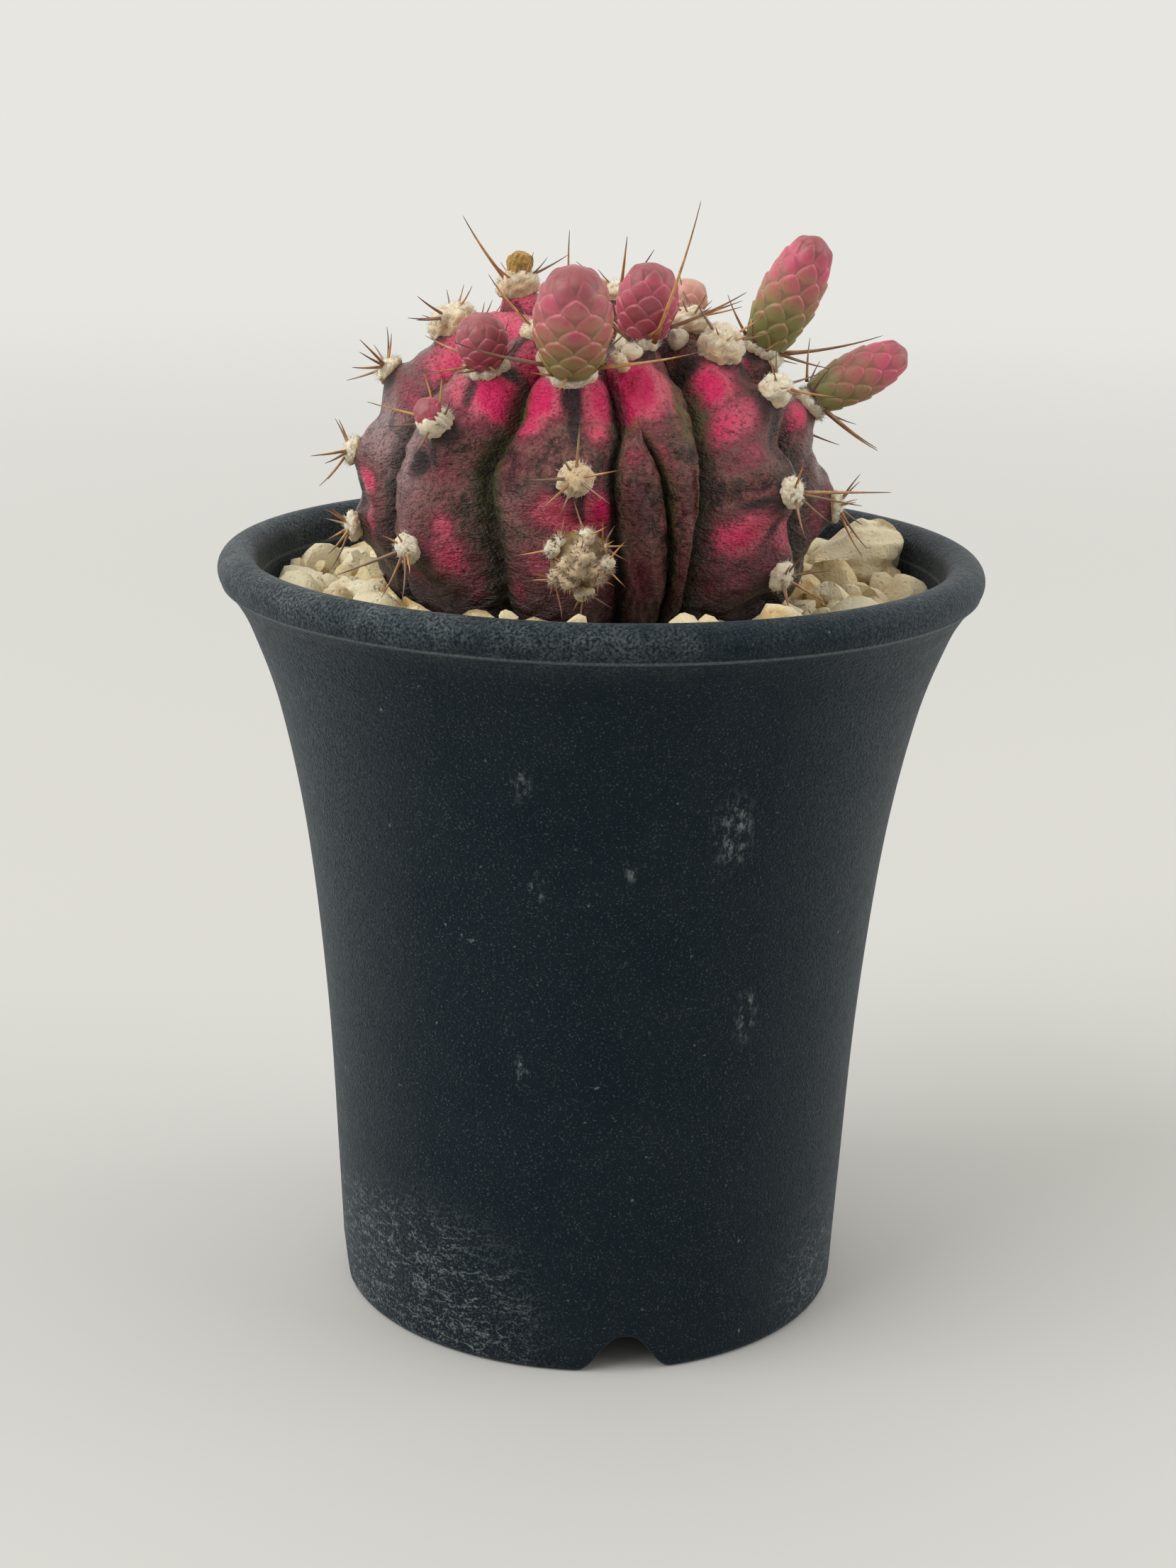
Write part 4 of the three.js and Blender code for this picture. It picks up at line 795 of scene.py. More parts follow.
def soil_material(gravel):
    """Dry potting mix: loose crumbs of peat and grit, matt and dark."""
    material, add, surface, place = start_material("dry_potting_mix")
    crumbs = add("TexNoise", inputs=grain(place, 2.2, 6, 0.7))
    fill(surface, {
        "Base Color": painted(add, opaque(gravel.soil), [(crumbs, (0.45, 0.75), linear("#8a7355"))]),
        "Roughness": 0.95,
        "Normal": add("Bump", inputs={"Height": crumbs, "Strength": 1, "Distance": 0.0012}),
    })
    return material


def pumice_material(gravel):
    """Crushed pumice: chalky, cream with ochre iron stains, and pitted by gas bubbles.

    The real bubbles are finer than a pixel, so they are drawn about 0.5 mm wide.
    """
    material, add, surface, place = start_material("crushed_pumice")
    own = add("Attribute", attribute_name="tone", output="Fac")
    blotch, grit = (add("TexNoise", inputs=grain(place, *sizes)) for sizes in ((4.5, 4, 0.6), (0.7, 5, 0.7)))
    pores = add("TexVoronoi", inputs={"Vector": place, "Scale": 1 / (0.9 * MM), "Randomness": 1})
    pores = add("MapRange", pores, 0.05, 0.3, 0, 0.5, **SMOOTH)
    stain = add("Math", own, 0.2, blotch, **SCALED_SUM)
    relief = add("Math", pores, grit, operation="ADD")
    fill(surface, {
        "Base Color": painted(add, linear("#eadfc0"), (
            (own, (), opaque(gravel.pumice)),
            (stain, (0.63, 0.8, 0, 0.75), opaque(gravel.stain)),
            (grit, (0.55, 0.75, 0, 0.3), linear("#a8926a")),
        )),
        "Roughness": 0.92,
        "Normal": add("Bump", inputs={"Height": relief, "Strength": 0.8, "Distance": 0.00045}),
    })
    return material


def skin_material(plant):
    """Cactus skin under a thin wax: purple-brown, matt to satin, finely wrinkled, with magenta patches.

    The magenta is skin without green, and its edge breaks into dark dots. Grooves are dark olive, darkened
    further by painted shade. Painted shade also makes the skin nearly black below each areole and near
    the gravel, beside dark smears of its own, and a painted sheen lies pale on the wax.
    """
    material, add, surface, place = start_material("waxy_cactus_skin")
    # Fields painted on the skin, among them painted shade in the grooves, below the areoles and near the
    # gravel, and a painted sheen on the wax
    flush, side, groove, ember, moss, bloom, low = (
        add("Attribute", attribute_name=name, output="Fac")
        for name in ("flush", "side", "groove", "ember", "moss", "bloom", "low")
    )
    broad, blotch, dots, fine, specks = (
        add("TexNoise", inputs=grain(place, *sizes))
        for sizes in ((6, 4, 0.6), (2.2, 5, 0.65), (0.6, 3, 0.6), (0.28, 2, 0.5), (0.42, 2, 0.5))
    )
    mottle = add("Math", blotch, 0.6, add("Math", dots, 0.4, **TIMES), **SCALED_SUM)
    # Painted sheen on the wax, broken up by the blotches
    waxy = faded(add, bloom, blotch, 0.2, 0.6, 0, 0.65)

    # Noise round 0 that breaks up the patches' edges, and the patches so broken
    jitter = add("Math", blotch, 0.32, -0.435, **SCALED_SUM)
    jitter = add("Math", dots, 0.55, jitter, **SCALED_SUM)
    edge = add("Math", flush, jitter, operation="ADD")
    hot = add("Math", edge, 0.6, add("Math", side, 0.6, **TIMES), **SCALED_SUM)
    # Nearly black: dark smears, and painted shade below the areoles, in dents and under the buds
    smeared_and_shaded = add("Math", jitter, 0.7, ember, **SCALED_SUM)
    specks = faded(add, add("MapRange", specks, 0.54, 0.66, 0, 0.7, **SMOOTH), edge, 1.5, 0.6)
    moss = faded(add, moss, blotch, 0.3, 0.55)

    stretched = add("Mapping", place, inputs={"Scale": (1, 1, 1.9)})
    wrinkles = add("TexNoise", inputs=grain(stretched, plant.wrinkle / MM, 3, 0.6))
    creases = add("TexNoise", inputs=grain(stretched, 1.5, 4, 0.6))
    relief = add("Math", creases, 2, wrinkles, **SCALED_SUM)
    fill(surface, {
        "Base Color": painted(add, opaque(plant.shade), (
            (mottle, (0.4, 0.6), opaque(plant.brown)),
            (broad, (0.48, 0.7, 0, 0.5), opaque(plant.crimson)),
            (broad, (0.54, 0.36, 0, 0.7), linear("#372d20")),
            # Painted sheen on the wax
            (waxy, (), opaque(plant.bloom)),
            (fine, (0.52, 0.66, 0, 0.3), linear("#211512")),
            (edge, (-0.02, 0.26, 0, 0.45), linear("#95615a")),
            (edge, (0.1, 0.5, 0, 0.8), opaque(plant.crimson)),
            (edge, (0.34, 0.86), opaque(plant.coral)),
            (hot, (0.66, 1), opaque(plant.flush)),
            (specks, (), linear("#4f1726")),
            # Painted shade, darker towards the gravel
            (add("Math", low, 0.9, **TIMES), (), linear("#1e090f")),
            # Painted shade in the grooves
            (groove, (0.15, 0.95, 0, 0.85), linear("#26241b")),
            (moss, (), opaque(plant.olive)),
            # Dark smears and painted shade
            (smeared_and_shaded, (0.3, 0.75, 0, 0.9), linear("#1d1418")),
        )),
        "Roughness": add("MapRange", blotch, 0.35, 0.65, 0.2, 0.42),
        "Normal": add("Bump", inputs={"Height": relief, "Strength": 1, "Distance": 0.0005}),
        "IOR": 1.45,
    })
    return material


def wool_material(wool):
    """Areole wool: a felt of fine plant hairs, cream and matt, yellow-brown deep in its folds.

    The yellow-brown is old wool, and painted shade under each tuft and collar. The real hairs are about
    0.02 mm thick, so the felt's fibres are drawn ten times as coarse.
    """
    material, add, surface, place = start_material("areole_felt")
    age = add("Attribute", attribute_name="age", output="Fac")
    lumps, fibres = (
        add("TexNoise", inputs=grain(place, *sizes)) for sizes in ((0.9, 5, 0.7), (0.22, 3, 0.7))
    )
    # Old wool and painted shade, broken up by the lumps
    deep = add("Math", age, 0.35, lumps, **SCALED_SUM)
    relief = add("Math", fibres, 0.8, lumps, **SCALED_SUM)
    fill(surface, {
        "Base Color": painted(add, opaque(wool.wool), [(deep, (0.48, 0.8, 0, 0.62), opaque(wool.aged))]),
        "Roughness": 0.95,
        "Normal": add("Bump", inputs={"Height": relief, "Strength": 1, "Distance": 0.00028}),
        "Sheen Weight": 0.5,
        "Subsurface Weight": 0.35,
        "Subsurface Radius": (1.0, 0.8, 0.6),
        "Subsurface Scale": 0.0006,
    })
    return material


def spine_material(wool):
    """Spine: dry horn, a little glossy, brown at its root, then tan, and nearly black at its tip."""
    material, add, surface, place = start_material("spine_horn")
    along, tone = (add("Attribute", attribute_name=name, output="Fac") for name in ("along", "tone"))
    streak = add("TexNoise", inputs=grain(place, 1.4, 3, 0.6))
    fill(surface, {
        "Base Color": painted(add, opaque(wool.tan), (
            (tone, (0.2, 0.8), opaque(wool.horn)),
            (streak, (0.38, 0.66, 0, 0.6), linear("#7a3f26")),
            (along, (0.2, 0), linear("#7d4a2e")),
            (along, (0.62, 1), opaque(wool.tip)),
        )),
        "Roughness": 0.38,
    })
    return material


def bud_material(buds):
    """Bud scales: smooth, waxy plant tissue, rose to olive, with a thin pale margin on each scale."""
    material, add, surface, place = start_material("waxy_bud_scale")
    edge, tone, leafy, apex, pale, crown = (
        add("Attribute", attribute_name=name, output="Fac")
        for name in ("edge", "tone", "leafy", "apex", "pale", "crown")
    )
    soft, fine = (add("TexNoise", inputs=grain(place, *sizes)) for sizes in ((2.6, 4, 0.6), (0.35, 3, 0.6)))
    green = add("Math", soft, 0.9, add("Math", leafy, 0.45, operation="SUBTRACT"), **SCALED_SUM)
    margin = painted(add, opaque(buds.margin), [(crown, (), linear("#6f2836"))])
    fill(surface, {
        "Base Color": painted(add, opaque(buds.rose), (
            (tone, (), opaque(buds.dusk)),
            (soft, (0.45, 0.7, 0, 0.2), linear("#c4827a")),
            (green, (0.15, 0.5), linear("#a9655c")),
            (green, (0.4, 0.95), opaque(buds.green)),
            (apex, (0.75, 1, 0, 0.3), linear("#a83348")),
            # Painted shade at each scale's foot, under the edge of the scale that overlaps it
            (apex, (0.22, 0, 0, 0.4), linear("#5c3a32")),
            (fine, (0.5, 0.7, 0, 0.18), linear("#5e2a36")),
            (edge, (0.82, 0.97, 0, 0.6), margin),
            (pale, (), linear("#e3b79c")),
        )),
        "Roughness": 0.46,
        "Normal": add("Bump", inputs={"Height": fine, "Strength": 0.25, "Distance": 0.0001}),
        "Subsurface Weight": 0.12,
        "Subsurface Radius": (1.0, 0.3, 0.2),
        "Subsurface Scale": 0.0012,
    })
    return material


def dry_material(buds):
    """Dried bud: papery brown tissue, matt, with darker wrinkles."""
    material, add, surface, place = start_material("dried_bud")
    folds = add("TexNoise", inputs=grain(place, 0.6, 5, 0.7))
    layers = ((folds, (0.4, 0.65), linear("#c79b5c")), (folds, (0.58, 0.72), linear("#4b2f1c")))
    fill(surface, {
        "Base Color": painted(add, opaque(buds.dry), layers),
        "Roughness": 0.85,
        "Normal": add("Bump", inputs={"Height": folds, "Strength": 1, "Distance": 0.0003}),
    })
    return material


def young_skin_material():
    """Skin of the young offset: yellow-green to brown, satin."""
    material, add, surface, place = start_material("young_cactus_skin")
    blotch = add("TexNoise", inputs=grain(place, 1.6, 4, 0.6))
    fill(surface, {
        "Base Color": painted(add, linear("#8b7a45"), [(blotch, (0.4, 0.62), linear("#6e4a36"))]),
        "Roughness": 0.5,
    })
    return material


# The pot


def wall_line(count=200):
    """The wall's outer line as smooth rows of [radius, height]."""
    return through(WALL_LINE, np.linspace(0, len(WALL_LINE) - 1, count))


def pot_profile(pot):
    """The pot's cross-section as a closed line of [radius, height], with rounded corners and rim."""
    wall = wall_line(WALL_ROWS)
    bead = pot.bead / MM
    middle = np.array([pot.rim_radius / MM - bead, pot.height / MM - bead])
    turn = math.radians(BEAD_START)
    under = middle + bead * np.array([math.cos(turn), math.sin(turn)])
    wall = np.concatenate([wall, np.linspace(wall[-1], under, 14)[1:]])
    seam = PARTING_RISE * np.exp(-(((wall[:, 1] - PARTING_LINE) / PARTING_HALF) ** 2))
    outer = wall + np.stack([seam, np.zeros(len(wall))], -1)
    turn = np.radians(np.linspace(BEAD_START + 4, 180, 26))
    rim = middle + bead * np.stack([np.cos(turn), np.sin(turn)], -1)
    corner = FLOOR_TOP + np.array(CORNER_HEIGHTS)
    heights = np.concatenate([np.linspace(INNER_TOP, FLOOR_TOP + 2, 40), corner])
    inner = np.stack([np.interp(heights, wall[:, 1], wall[:, 0]) - pot.wall / MM, heights], -1)
    inner[-2:, 0] -= CORNER_STEPS
    floor = np.linspace((inner[-1, 0] - CORNER_END, FLOOR_TOP), (DRAIN_RADIUS, FLOOR_TOP), 14)
    foot_inside = WALL_LINE[0][0] - FOOT_WALL
    under = np.linspace((DRAIN_RADIUS, FLOOR_LIFT), (foot_inside - FOOT_CHAMFER, FLOOR_LIFT), 14)
    inside = np.linspace((foot_inside, FLOOR_LIFT - FOOT_CHAMFER), (foot_inside, 0.3), 8)
    foot = np.array([(foot_inside + 0.3, 0), *FOOT_EDGE])
    return np.concatenate([outer, rim, inner, floor, under, inside, foot])


def pot_shells(pot):
    """The profile turned round +Z, with the foot raised to a low arch at each notch.

    The arch climbs with a level start and end from the foot to its flat top, and the rows of the wall
    below a certain height are squeezed up between the arch and that height.
    """
    azimuths = np.arange(0, 360, 360 / POT_COLUMNS)
    profile = pot_profile(pot)
    grid = turned(profile, azimuths)
    arch = np.zeros(len(azimuths))
    for turn in NOTCHES:
        along = np.abs((azimuths - turn + 180) % 360 - 180) * math.pi / 180 * WALL_LINE[0][0]
        arch = np.maximum(arch, NOTCH_HEIGHT * smoothstep(NOTCH_HALF, NOTCH_FLAT, along))
    rows = np.arange(len(profile))
    outer = (profile[:, 1] < NOTCH_REACH) & (rows < WALL_ROWS)
    foot = rows >= len(profile) - FOOT_ROWS
    wall = wall_line(300)
    for chosen, reach in ((outer, NOTCH_REACH), (foot, FOOT_REACH)):
        height = profile[chosen, 1][:, None]
        raised = np.where(height < reach, arch + height * (1 - arch / reach), height)
        if chosen is outer:
            radius = np.interp(raised, wall[:, 1], wall[:, 0])
            grid[chosen] = aside(azimuths)[None] * radius[..., None]
        grid[chosen, :, 2] = raised
    return [shell(grid, grid_triangles(*grid.shape[:2], ring=True))]


def cut_drains(piece):
    """Cuts the four side drains through the pot's floor with round cutters."""
    low, high = FLOOR_LIFT - 2, FLOOR_TOP + 2
    side = np.array([(SIDE_DRAIN_RADIUS, low), (SIDE_DRAIN_RADIUS, high)])
    round_wall = turned(side, np.arange(0, 360, 10))
    for turn in NOTCHES:
        place = aside(turn) * SIDE_DRAIN_PLACE
        part = capped(round_wall + place, place + (0, 0, low), place + (0, 0, high))
        mesh = bpy.data.meshes.new("drain_cutter")
        mesh.from_pydata(part["points"] * MM, [], part["triangles"].tolist())
        cutter = linked("drain_cutter", mesh)
        cut = piece.modifiers.new("drain", "BOOLEAN")
        cut.operation = "DIFFERENCE"
        cut.solver = "EXACT"
        cut.object = cutter
        seen = piece.evaluated_get(bpy.context.evaluated_depsgraph_get())
        whole = bpy.data.meshes.new_from_object(seen)
        piece.modifiers.clear()
        old = piece.data
        piece.data = whole
        bpy.data.meshes.remove(old)
        bpy.data.objects.remove(cutter)
    piece.data.name = piece.name
    piece.data.shade_smooth()
    piece.data.set_sharp_from_angle(angle=math.radians(POT_SHARP))


# The pumice


def counted_random(seed):
    """The same even numbers from 0 to 1 that the CAD part draws, so that the stones lie as its own do."""
    low = 0xFFFFFFFF
    state = seed
    while True:
        state = (state + 0x6D2B79F5) & low
        mix = ((state ^ (state >> 15)) * (1 | state)) & low
        mix = ((mix + ((mix ^ (mix >> 7)) * (61 | mix) & low)) & low) ^ mix
        yield ((mix ^ (mix >> 14)) & low) / 4294967296


def gravel_height(x, y):
    """Height of the gravel: it climbs to the stem, and each heap adds a rounded mound."""
    height = BED_TOP + (STONE_REACH - np.hypot(x, y)) * BED_SLOPE
    for cx, cy, spread, rise in BED_HEAPS:
        height = height + rise * np.exp(-((x - cx) ** 2 + (y - cy) ** 2) / spread**2)
    return height


def scattered(stones, most, scatter, draw, unit_size, lift):
    """Adds stones as (x, y, size, lift) at chance places wherever there is room, up to a number of them."""
    tries, (near, far), (least, largest), closeness, counted = scatter
    for _ in range(tries):
        if len(stones) >= most:
            break
        reach = near + (far - near) * math.sqrt(draw())
        around = draw() * 2 * math.pi
        size = unit_size * (least + (largest - least) * draw())
        x, y = reach * math.cos(around), reach * math.sin(around)
        if all(math.hypot(o[0] - x, o[1] - y) > closeness * (min(o[2], counted) + size) for o in stones):
            stones.append((x, y, size, lift()))


def stone_spots(gravel):
    """Stones as rows of x, y, z and size: the CAD part's own, and small chips wherever there is room."""
    placed = [(*LARGE_STONE, LARGE_STONE_LIFT)]
    draw = functools.partial(next, counted_random(STONE_SEED))
    scattered(placed, STONE_MOST, STONE_SCATTER, draw, 1, lambda: STONE_LIFT)
    rng = np.random.default_rng(7)
    most = len(placed) + gravel.chips
    chip = gravel.chip_size / MM
    scattered(placed, most, CHIP_SCATTER, rng.random, chip, lambda: rng.uniform(*CHIP_LIFTS))
    x, y, size, lifts = np.array(placed).T
    bed = np.stack([x, y, gravel_height(x, y) - 0.12 * size + lifts, size], -1)
    azimuths, reaches, tops, sizes = np.array(FRONT_CHIPS, float).T
    front = aside(azimuths) * reaches[:, None]
    return np.concatenate([bed, np.column_stack([front[:, :2], tops, sizes])])


@functools.lru_cache
def ball_triangles(level):
    """Unit icosahedron directions with each face cut in four, level times over, and the triangles."""
    golden = (1 + 5**0.5) / 2
    corners = [(a, b * golden, 0) for a in (-1, 1) for b in (-1, 1)]
    points = unit(np.array([np.roll(p, k) for k in range(3) for p in corners], float))
    side = np.linalg.norm(points[:, None] - points[None], axis=-1)
    near = (side > 0.1) & (side < 1.2)
    faces = [(i, j, k) for i in range(12) for j in range(i) for k in range(j)
             if near[i, j] and near[j, k] and near[i, k]]
    triangles = np.array(faces)
    flip = np.einsum("ij,ij->i", points[triangles[:, 0]],
                     np.cross(points[triangles[:, 1]], points[triangles[:, 2]])) < 0
    triangles[flip] = triangles[flip][:, ::-1]
    for _ in range(level):
        edges = np.concatenate([triangles[:, pair] for pair in ([0, 1], [1, 2], [2, 0])])
        unique, where = np.unique(np.sort(edges, 1), axis=0, return_inverse=True)
        a, b, c = (len(points) + part for part in np.split(where.ravel(), 3))
        points = np.concatenate([points, unit(points[unique].mean(1))])
        i, j, k = triangles.T
        triangles = np.concatenate([np.stack(t, -1) for t in ((i, a, c), (a, j, b), (c, b, k), (a, b, c))])
    return points, triangles


def stone_shell(stones, level, seed):
    """Crushed stones: each direction's radius is a soft least of the distances to its flat faces.

    Their sides are blunted by the softness, and seeded waves roughen them. Each is flattened a little,
    turned, and pressed back from the stem and the pot's wall.
    """
    rng = np.random.default_rng(seed)
    directions, triangles = ball_triangles(level)
    count = len(stones)
    faces = unit(rng.normal(size=(count, STONE_FACES, 3)))
    reach = rng.uniform(0.72, 1.05, (count, STONE_FACES))
    facing = np.einsum("vk,nfk->nvf", directions, faces)
    distance = reach[:, None] / np.maximum(facing, 0.12)
    radius = np.minimum((distance**-STONE_SHARPNESS).sum(-1) ** (-1 / STONE_SHARPNESS), 1.25)
    squash = np.stack([np.ones(count), rng.uniform(0.8, 1.05, count), rng.uniform(0.66, 0.86, count)], -1)
    points = directions[None] * radius[..., None] * squash[:, None]
    axes = np.linalg.qr(rng.normal(size=(count, 3, 3)))[0]
    axes = np.where(np.linalg.det(axes)[:, None, None] < 0, -axes, axes)
    points = np.einsum("nvk,nkj->nvj", points, axes) * stones[:, 3][:, None, None]
    points = points + stones[:, :3][:, None]
    rough = 0.12 * waves(points, 1.7, seed) + 0.07 * stones[:, 3:] * waves(points, 3.4, seed + 3)
    points = points + rough[..., None] * directions[None]
    points = kept_off(points.reshape(-1, 3)).reshape(points.shape)
    return repeated(points, triangles, tone=rng.random((count, 1)))


def kept_off(points):
    """Moves points out of the stem's place and inside the pot's wall, level and outwards or inwards."""
    local = (points - np.array(STEM_FOOT)) @ lean_matrix()
    steps = np.linspace(*GRAVEL_STEPS)
    line = through(CREST_LINE, steps) + crest_frame(steps)[1] * GRAVEL_GAP
    hole = np.interp(local[:, 2], line[::-1, 1], line[::-1, 0])
    hole = np.where(local[:, 2] > line[0, 1], 0, hole)
    reach = np.hypot(local[:, 0], local[:, 1])
    local[:, :2] *= (np.maximum(reach, hole) / np.maximum(reach, 1e-6))[:, None]
    points = local @ lean_matrix().T + np.array(STEM_FOOT)
    wall = wall_line()
    inner = np.interp(np.minimum(points[:, 2], INNER_TOP), wall[:, 1], wall[:, 0]) - WALL - FILL_GAP
    reach = np.hypot(points[:, 0], points[:, 1])
    points[:, :2] *= (np.minimum(reach, inner) / np.maximum(reach, 1e-6))[:, None]
    return points


def gravel_shells(gravel):
    """A bed that fills the pot below the stones, and the stones on it."""
    azimuths = np.arange(0, 360, 3)
    inner, middle, outer = BED_RADII
    profile = [(reach, SOIL_TOP) for reach in BED_RADII]
    profile = np.array([*profile, (outer, BED_TOP - 1), (middle, BED_TOP), (inner, BED_TOP)])
    grid = kept_off(turned(profile, azimuths).reshape(-1, 3)).reshape(len(profile), len(azimuths), 3)
    tone = np.full(grid.size // 3, 0.5)
    bed = shell(grid, grid_triangles(*grid.shape[:2], ring=True), tone=tone)
    stones = stone_spots(gravel)
    return [bed, stone_shell(stones[:1], 4, 4), stone_shell(stones[1:STONE_MOST], 2, 5),
            stone_shell(stones[STONE_MOST:], 1, 6)]


# The stem


def lean_matrix():
    """Turns row vectors of the object's frame into the stem's own frame."""
    lean = bpy.context.scene.cactus_plant.lean
    c, s = math.cos(lean), math.sin(lean)
    return np.array([[1, 0, 0], [0, c, -s], [0, s, c]])


def leaned(points, moved=True):
    """Points of the stem's own frame in the object's frame, or directions where they aren't moved."""
    points = points @ lean_matrix().T
    return points + np.array(STEM_FOOT) if moved else points


def crest_frame(steps):
    """Directions down the crest line and out of it, as [radius, height]."""
    steps = np.asarray(steps, float)
    last = len(CREST_LINE) - 1
    ahead = through(CREST_LINE, np.minimum(steps + 1e-3, last))
    down = unit(ahead - through(CREST_LINE, np.maximum(steps - 1e-3, 0)))
    return down, np.stack([-down[..., 1], down[..., 0]], -1)


def crest_azimuth(rib, steps):
    """Azimuth of a rib's crest."""
    return smooth_curve(KNOTS, RIBS[rib][2], steps)


def pressed(share):
    """Share of the groove's depth at a place between a crest, 0, and its groove, 1."""
    return RIDGE_SHARE * share**1.6 + (1 - RIDGE_SHARE) * share**6


def rib_relief(steps, columns):
    """Azimuth, share of the way to the groove, and depth below the crest line, on a grid.

    Between its grooves a rib's skin falls with the share's powers 1.6 and 6. The short rib blends in
    between two steps: above them it and its neighbour are one wide rib.
    """
    grooves = np.stack([smooth_curve(KNOTS, RIBS[rib][1], steps) for rib in RIB_NAMES], -1)
    grooves = np.concatenate([grooves, grooves[:, :1] + 360], -1)
    crests = np.stack([crest_azimuth(rib, steps) for rib in RIB_NAMES], -1)
    index = np.minimum(np.floor(columns).astype(int), len(RIB_NAMES) - 1)
    u = (columns - index)[None]
    left, crest, right = grooves[:, index], crests[:, index], grooves[:, index + 1]
    azimuth = np.where(u < 0.5, left + (crest - left) * 2 * u, crest + (right - crest) * (2 * u - 1))
    depths = np.array([RIBS[rib][0] for rib in RIB_NAMES])
    strength = np.where(u < 0.5, depths[index], depths[(index + 1) % len(RIB_NAMES)])
    share = np.abs(2 * u - 1) + 0 * azimuth
    depth = strength * pressed(share)
    near, crest, far = (line[:, None] for line in
                        (grooves[:, SHORT_RIB], crests[:, SHORT_RIB + 1], grooves[:, SHORT_RIB + 2]))
    wide = np.where(azimuth < crest, (crest - azimuth) / (crest - near), (azimuth - crest) / (far - crest))
    wide = np.clip(wide, 0, 1)
    wide_depth = np.where(azimuth < crest, depths[SHORT_RIB], depths[SHORT_RIB + 2]) * pressed(wide)
    apart = smoothstep(SHORT_RIB_START, SHORT_RIB_FULL, steps)[:, None]
    short = ((index == SHORT_RIB) | (index == SHORT_RIB + 1))[None]
    depth = np.where(short, wide_depth + (depth - wide_depth) * apart, depth)
    share = np.where(short, wide + (share - wide) * apart, share)
    return azimuth, share, depth * smooth_curve(DEPTH_KNOTS, DEPTHS, steps)[:, None]


def areole_relief(azimuth, steps, place):
    """Rise of the skin under the areoles: a rounded bump each, with a notch below it."""
    rise = np.zeros_like(azimuth)
    for rib, step, lift, *_ in AREOLES.values():
        centre = through(CREST_LINE, step)
        turn = np.radians((azimuth - crest_azimuth(rib, step) + 540) % 360 - 180)
        side = (turn * np.maximum(place[:, :1], 1) / BUMP_ACROSS) ** 2
        along = (np.sign(steps - step) * np.linalg.norm(place - centre, axis=1))[:, None]
        bump = np.exp(-side - (along / BUMP_ALONG) ** 2)
        chin = CHIN_DEPTH * np.exp(-side - ((along - CHIN_BELOW) / CHIN_ALONG) ** 2)
        rise += np.where(np.abs(steps - step)[:, None] <= 3, lift * (bump - chin), 0)
    return rise


def spot_field(spots, columns, steps):
    """Strongest of soft oval spots on the grid, each as [column, step, wide, tall, strength]."""
    field = np.zeros((len(steps), len(columns)))
    for column, step, wide, tall, strength in spots:
        across = (columns - column + 5) % 10 - 5
        oval = (across[None] / wide) ** 2 + ((steps[:, None] - step) / tall) ** 2
        field = np.maximum(field, strength * np.exp(-oval * 0.7))
    return field


def skin_fields(steps, columns, share):
    """Painted fields of the skin on its grid, by name. The hidden back's patches are drawn at random."""
    rng = np.random.default_rng(11)
    back = [tuple(rng.uniform(*span) for span in BACK_RANGES) for _ in range(BACK_PATCHES)]
    smears_and_shades = list(SMEAR_AND_SHADE_PATCHES)
    for rib, step, *_ in AREOLES.values():
        middle = RIB_NAMES.index(rib) + 0.5
        # Painted shade at and below each areole
        smears_and_shades += [(middle, step + 0.15, 0.17, 0.3, 0.8), (middle + 0.03, step + 0.6, 0.09, 0.4, 0.8)]
    # Patches of painted sheen on the wax, with a few more on the hidden back
    wax_sheens = list(WAX_SHEEN_PATCHES) + [(c + 0.3, s + 2, w, t, f) for c, s, w, t, f in back[:6]]
    return {
        "flush": spot_field(list(FLUSH_PATCHES) + back, columns, steps),
        "side": share,
        # Painted shade in the grooves, from a few steps below the crown
        "groove": smoothstep(0.62, 0.98, share) * smoothstep(1.5, 4, steps)[:, None],
        "moss": spot_field(MOSS_PATCHES, columns, steps),
        # Dark smears and painted shade
        "ember": spot_field(smears_and_shades, columns, steps),
        # Painted sheen on the wax
        "bloom": spot_field(wax_sheens, columns, steps),
        # Painted shade, darker towards the gravel
        "low": smoothstep(6.6, 8.8, steps)[:, None] + 0 * share,
    }


@functools.lru_cache
def stem_grid():
    """Points, normals and painted fields of the skin on a grid of steps down and columns round.

    The crest line is turned round the axis, pressed in at the grooves and raised at the areoles. Folds,
    a sharp crease in each groove and low waves are added on top.
    """
    steps = np.concatenate([np.linspace(*SEEN_STEPS), np.linspace(*BURIED_STEPS)])
    columns = np.arange(0, 10, 10 / STEM_COLUMNS)
    azimuth, share, depth = rib_relief(steps, columns)
    place = through(CREST_LINE, steps)
    out = crest_frame(steps)[1]
    lift = areole_relief(azimuth, steps, place) - depth
    shown = smoothstep(10.5, 9, steps)[:, None] * smoothstep(0.2, 1.6, steps)[:, None]
    rough = turned(place, columns * 36)
    crease = np.exp(-(((1 - share) / 0.055) ** 2))
    folds = sum(deep * spot_field([(c, s, w, t, 1)], columns, steps) for c, s, w, t, deep in FOLDS)
    cross = np.sin(steps[:, None] * 17 + 2.4 * waves(rough, 9, 3)) * smoothstep(0.35, 0.85, share)
    low = sum(high * waves(rough, wide, seed) for high, wide, seed in SKIN_WAVES)
    lift = lift + shown * (low + CROSS_RIDGE * cross)
    lift = lift - shown * (CREASE_DEPTH * crease + folds)
    radius = np.maximum(place[:, :1] + out[:, :1] * lift, 0.4)
    local = aside(azimuth) * radius[..., None]
    local[..., 2] = place[:, 1:] + out[:, 1:] * lift
    points = leaned(local)
    round_it = np.roll(points, -1, 1) - np.roll(points, 1, 1)
    normals = unit(np.cross(np.gradient(points, axis=0), round_it))
    return points, normals, skin_fields(steps, columns, share)


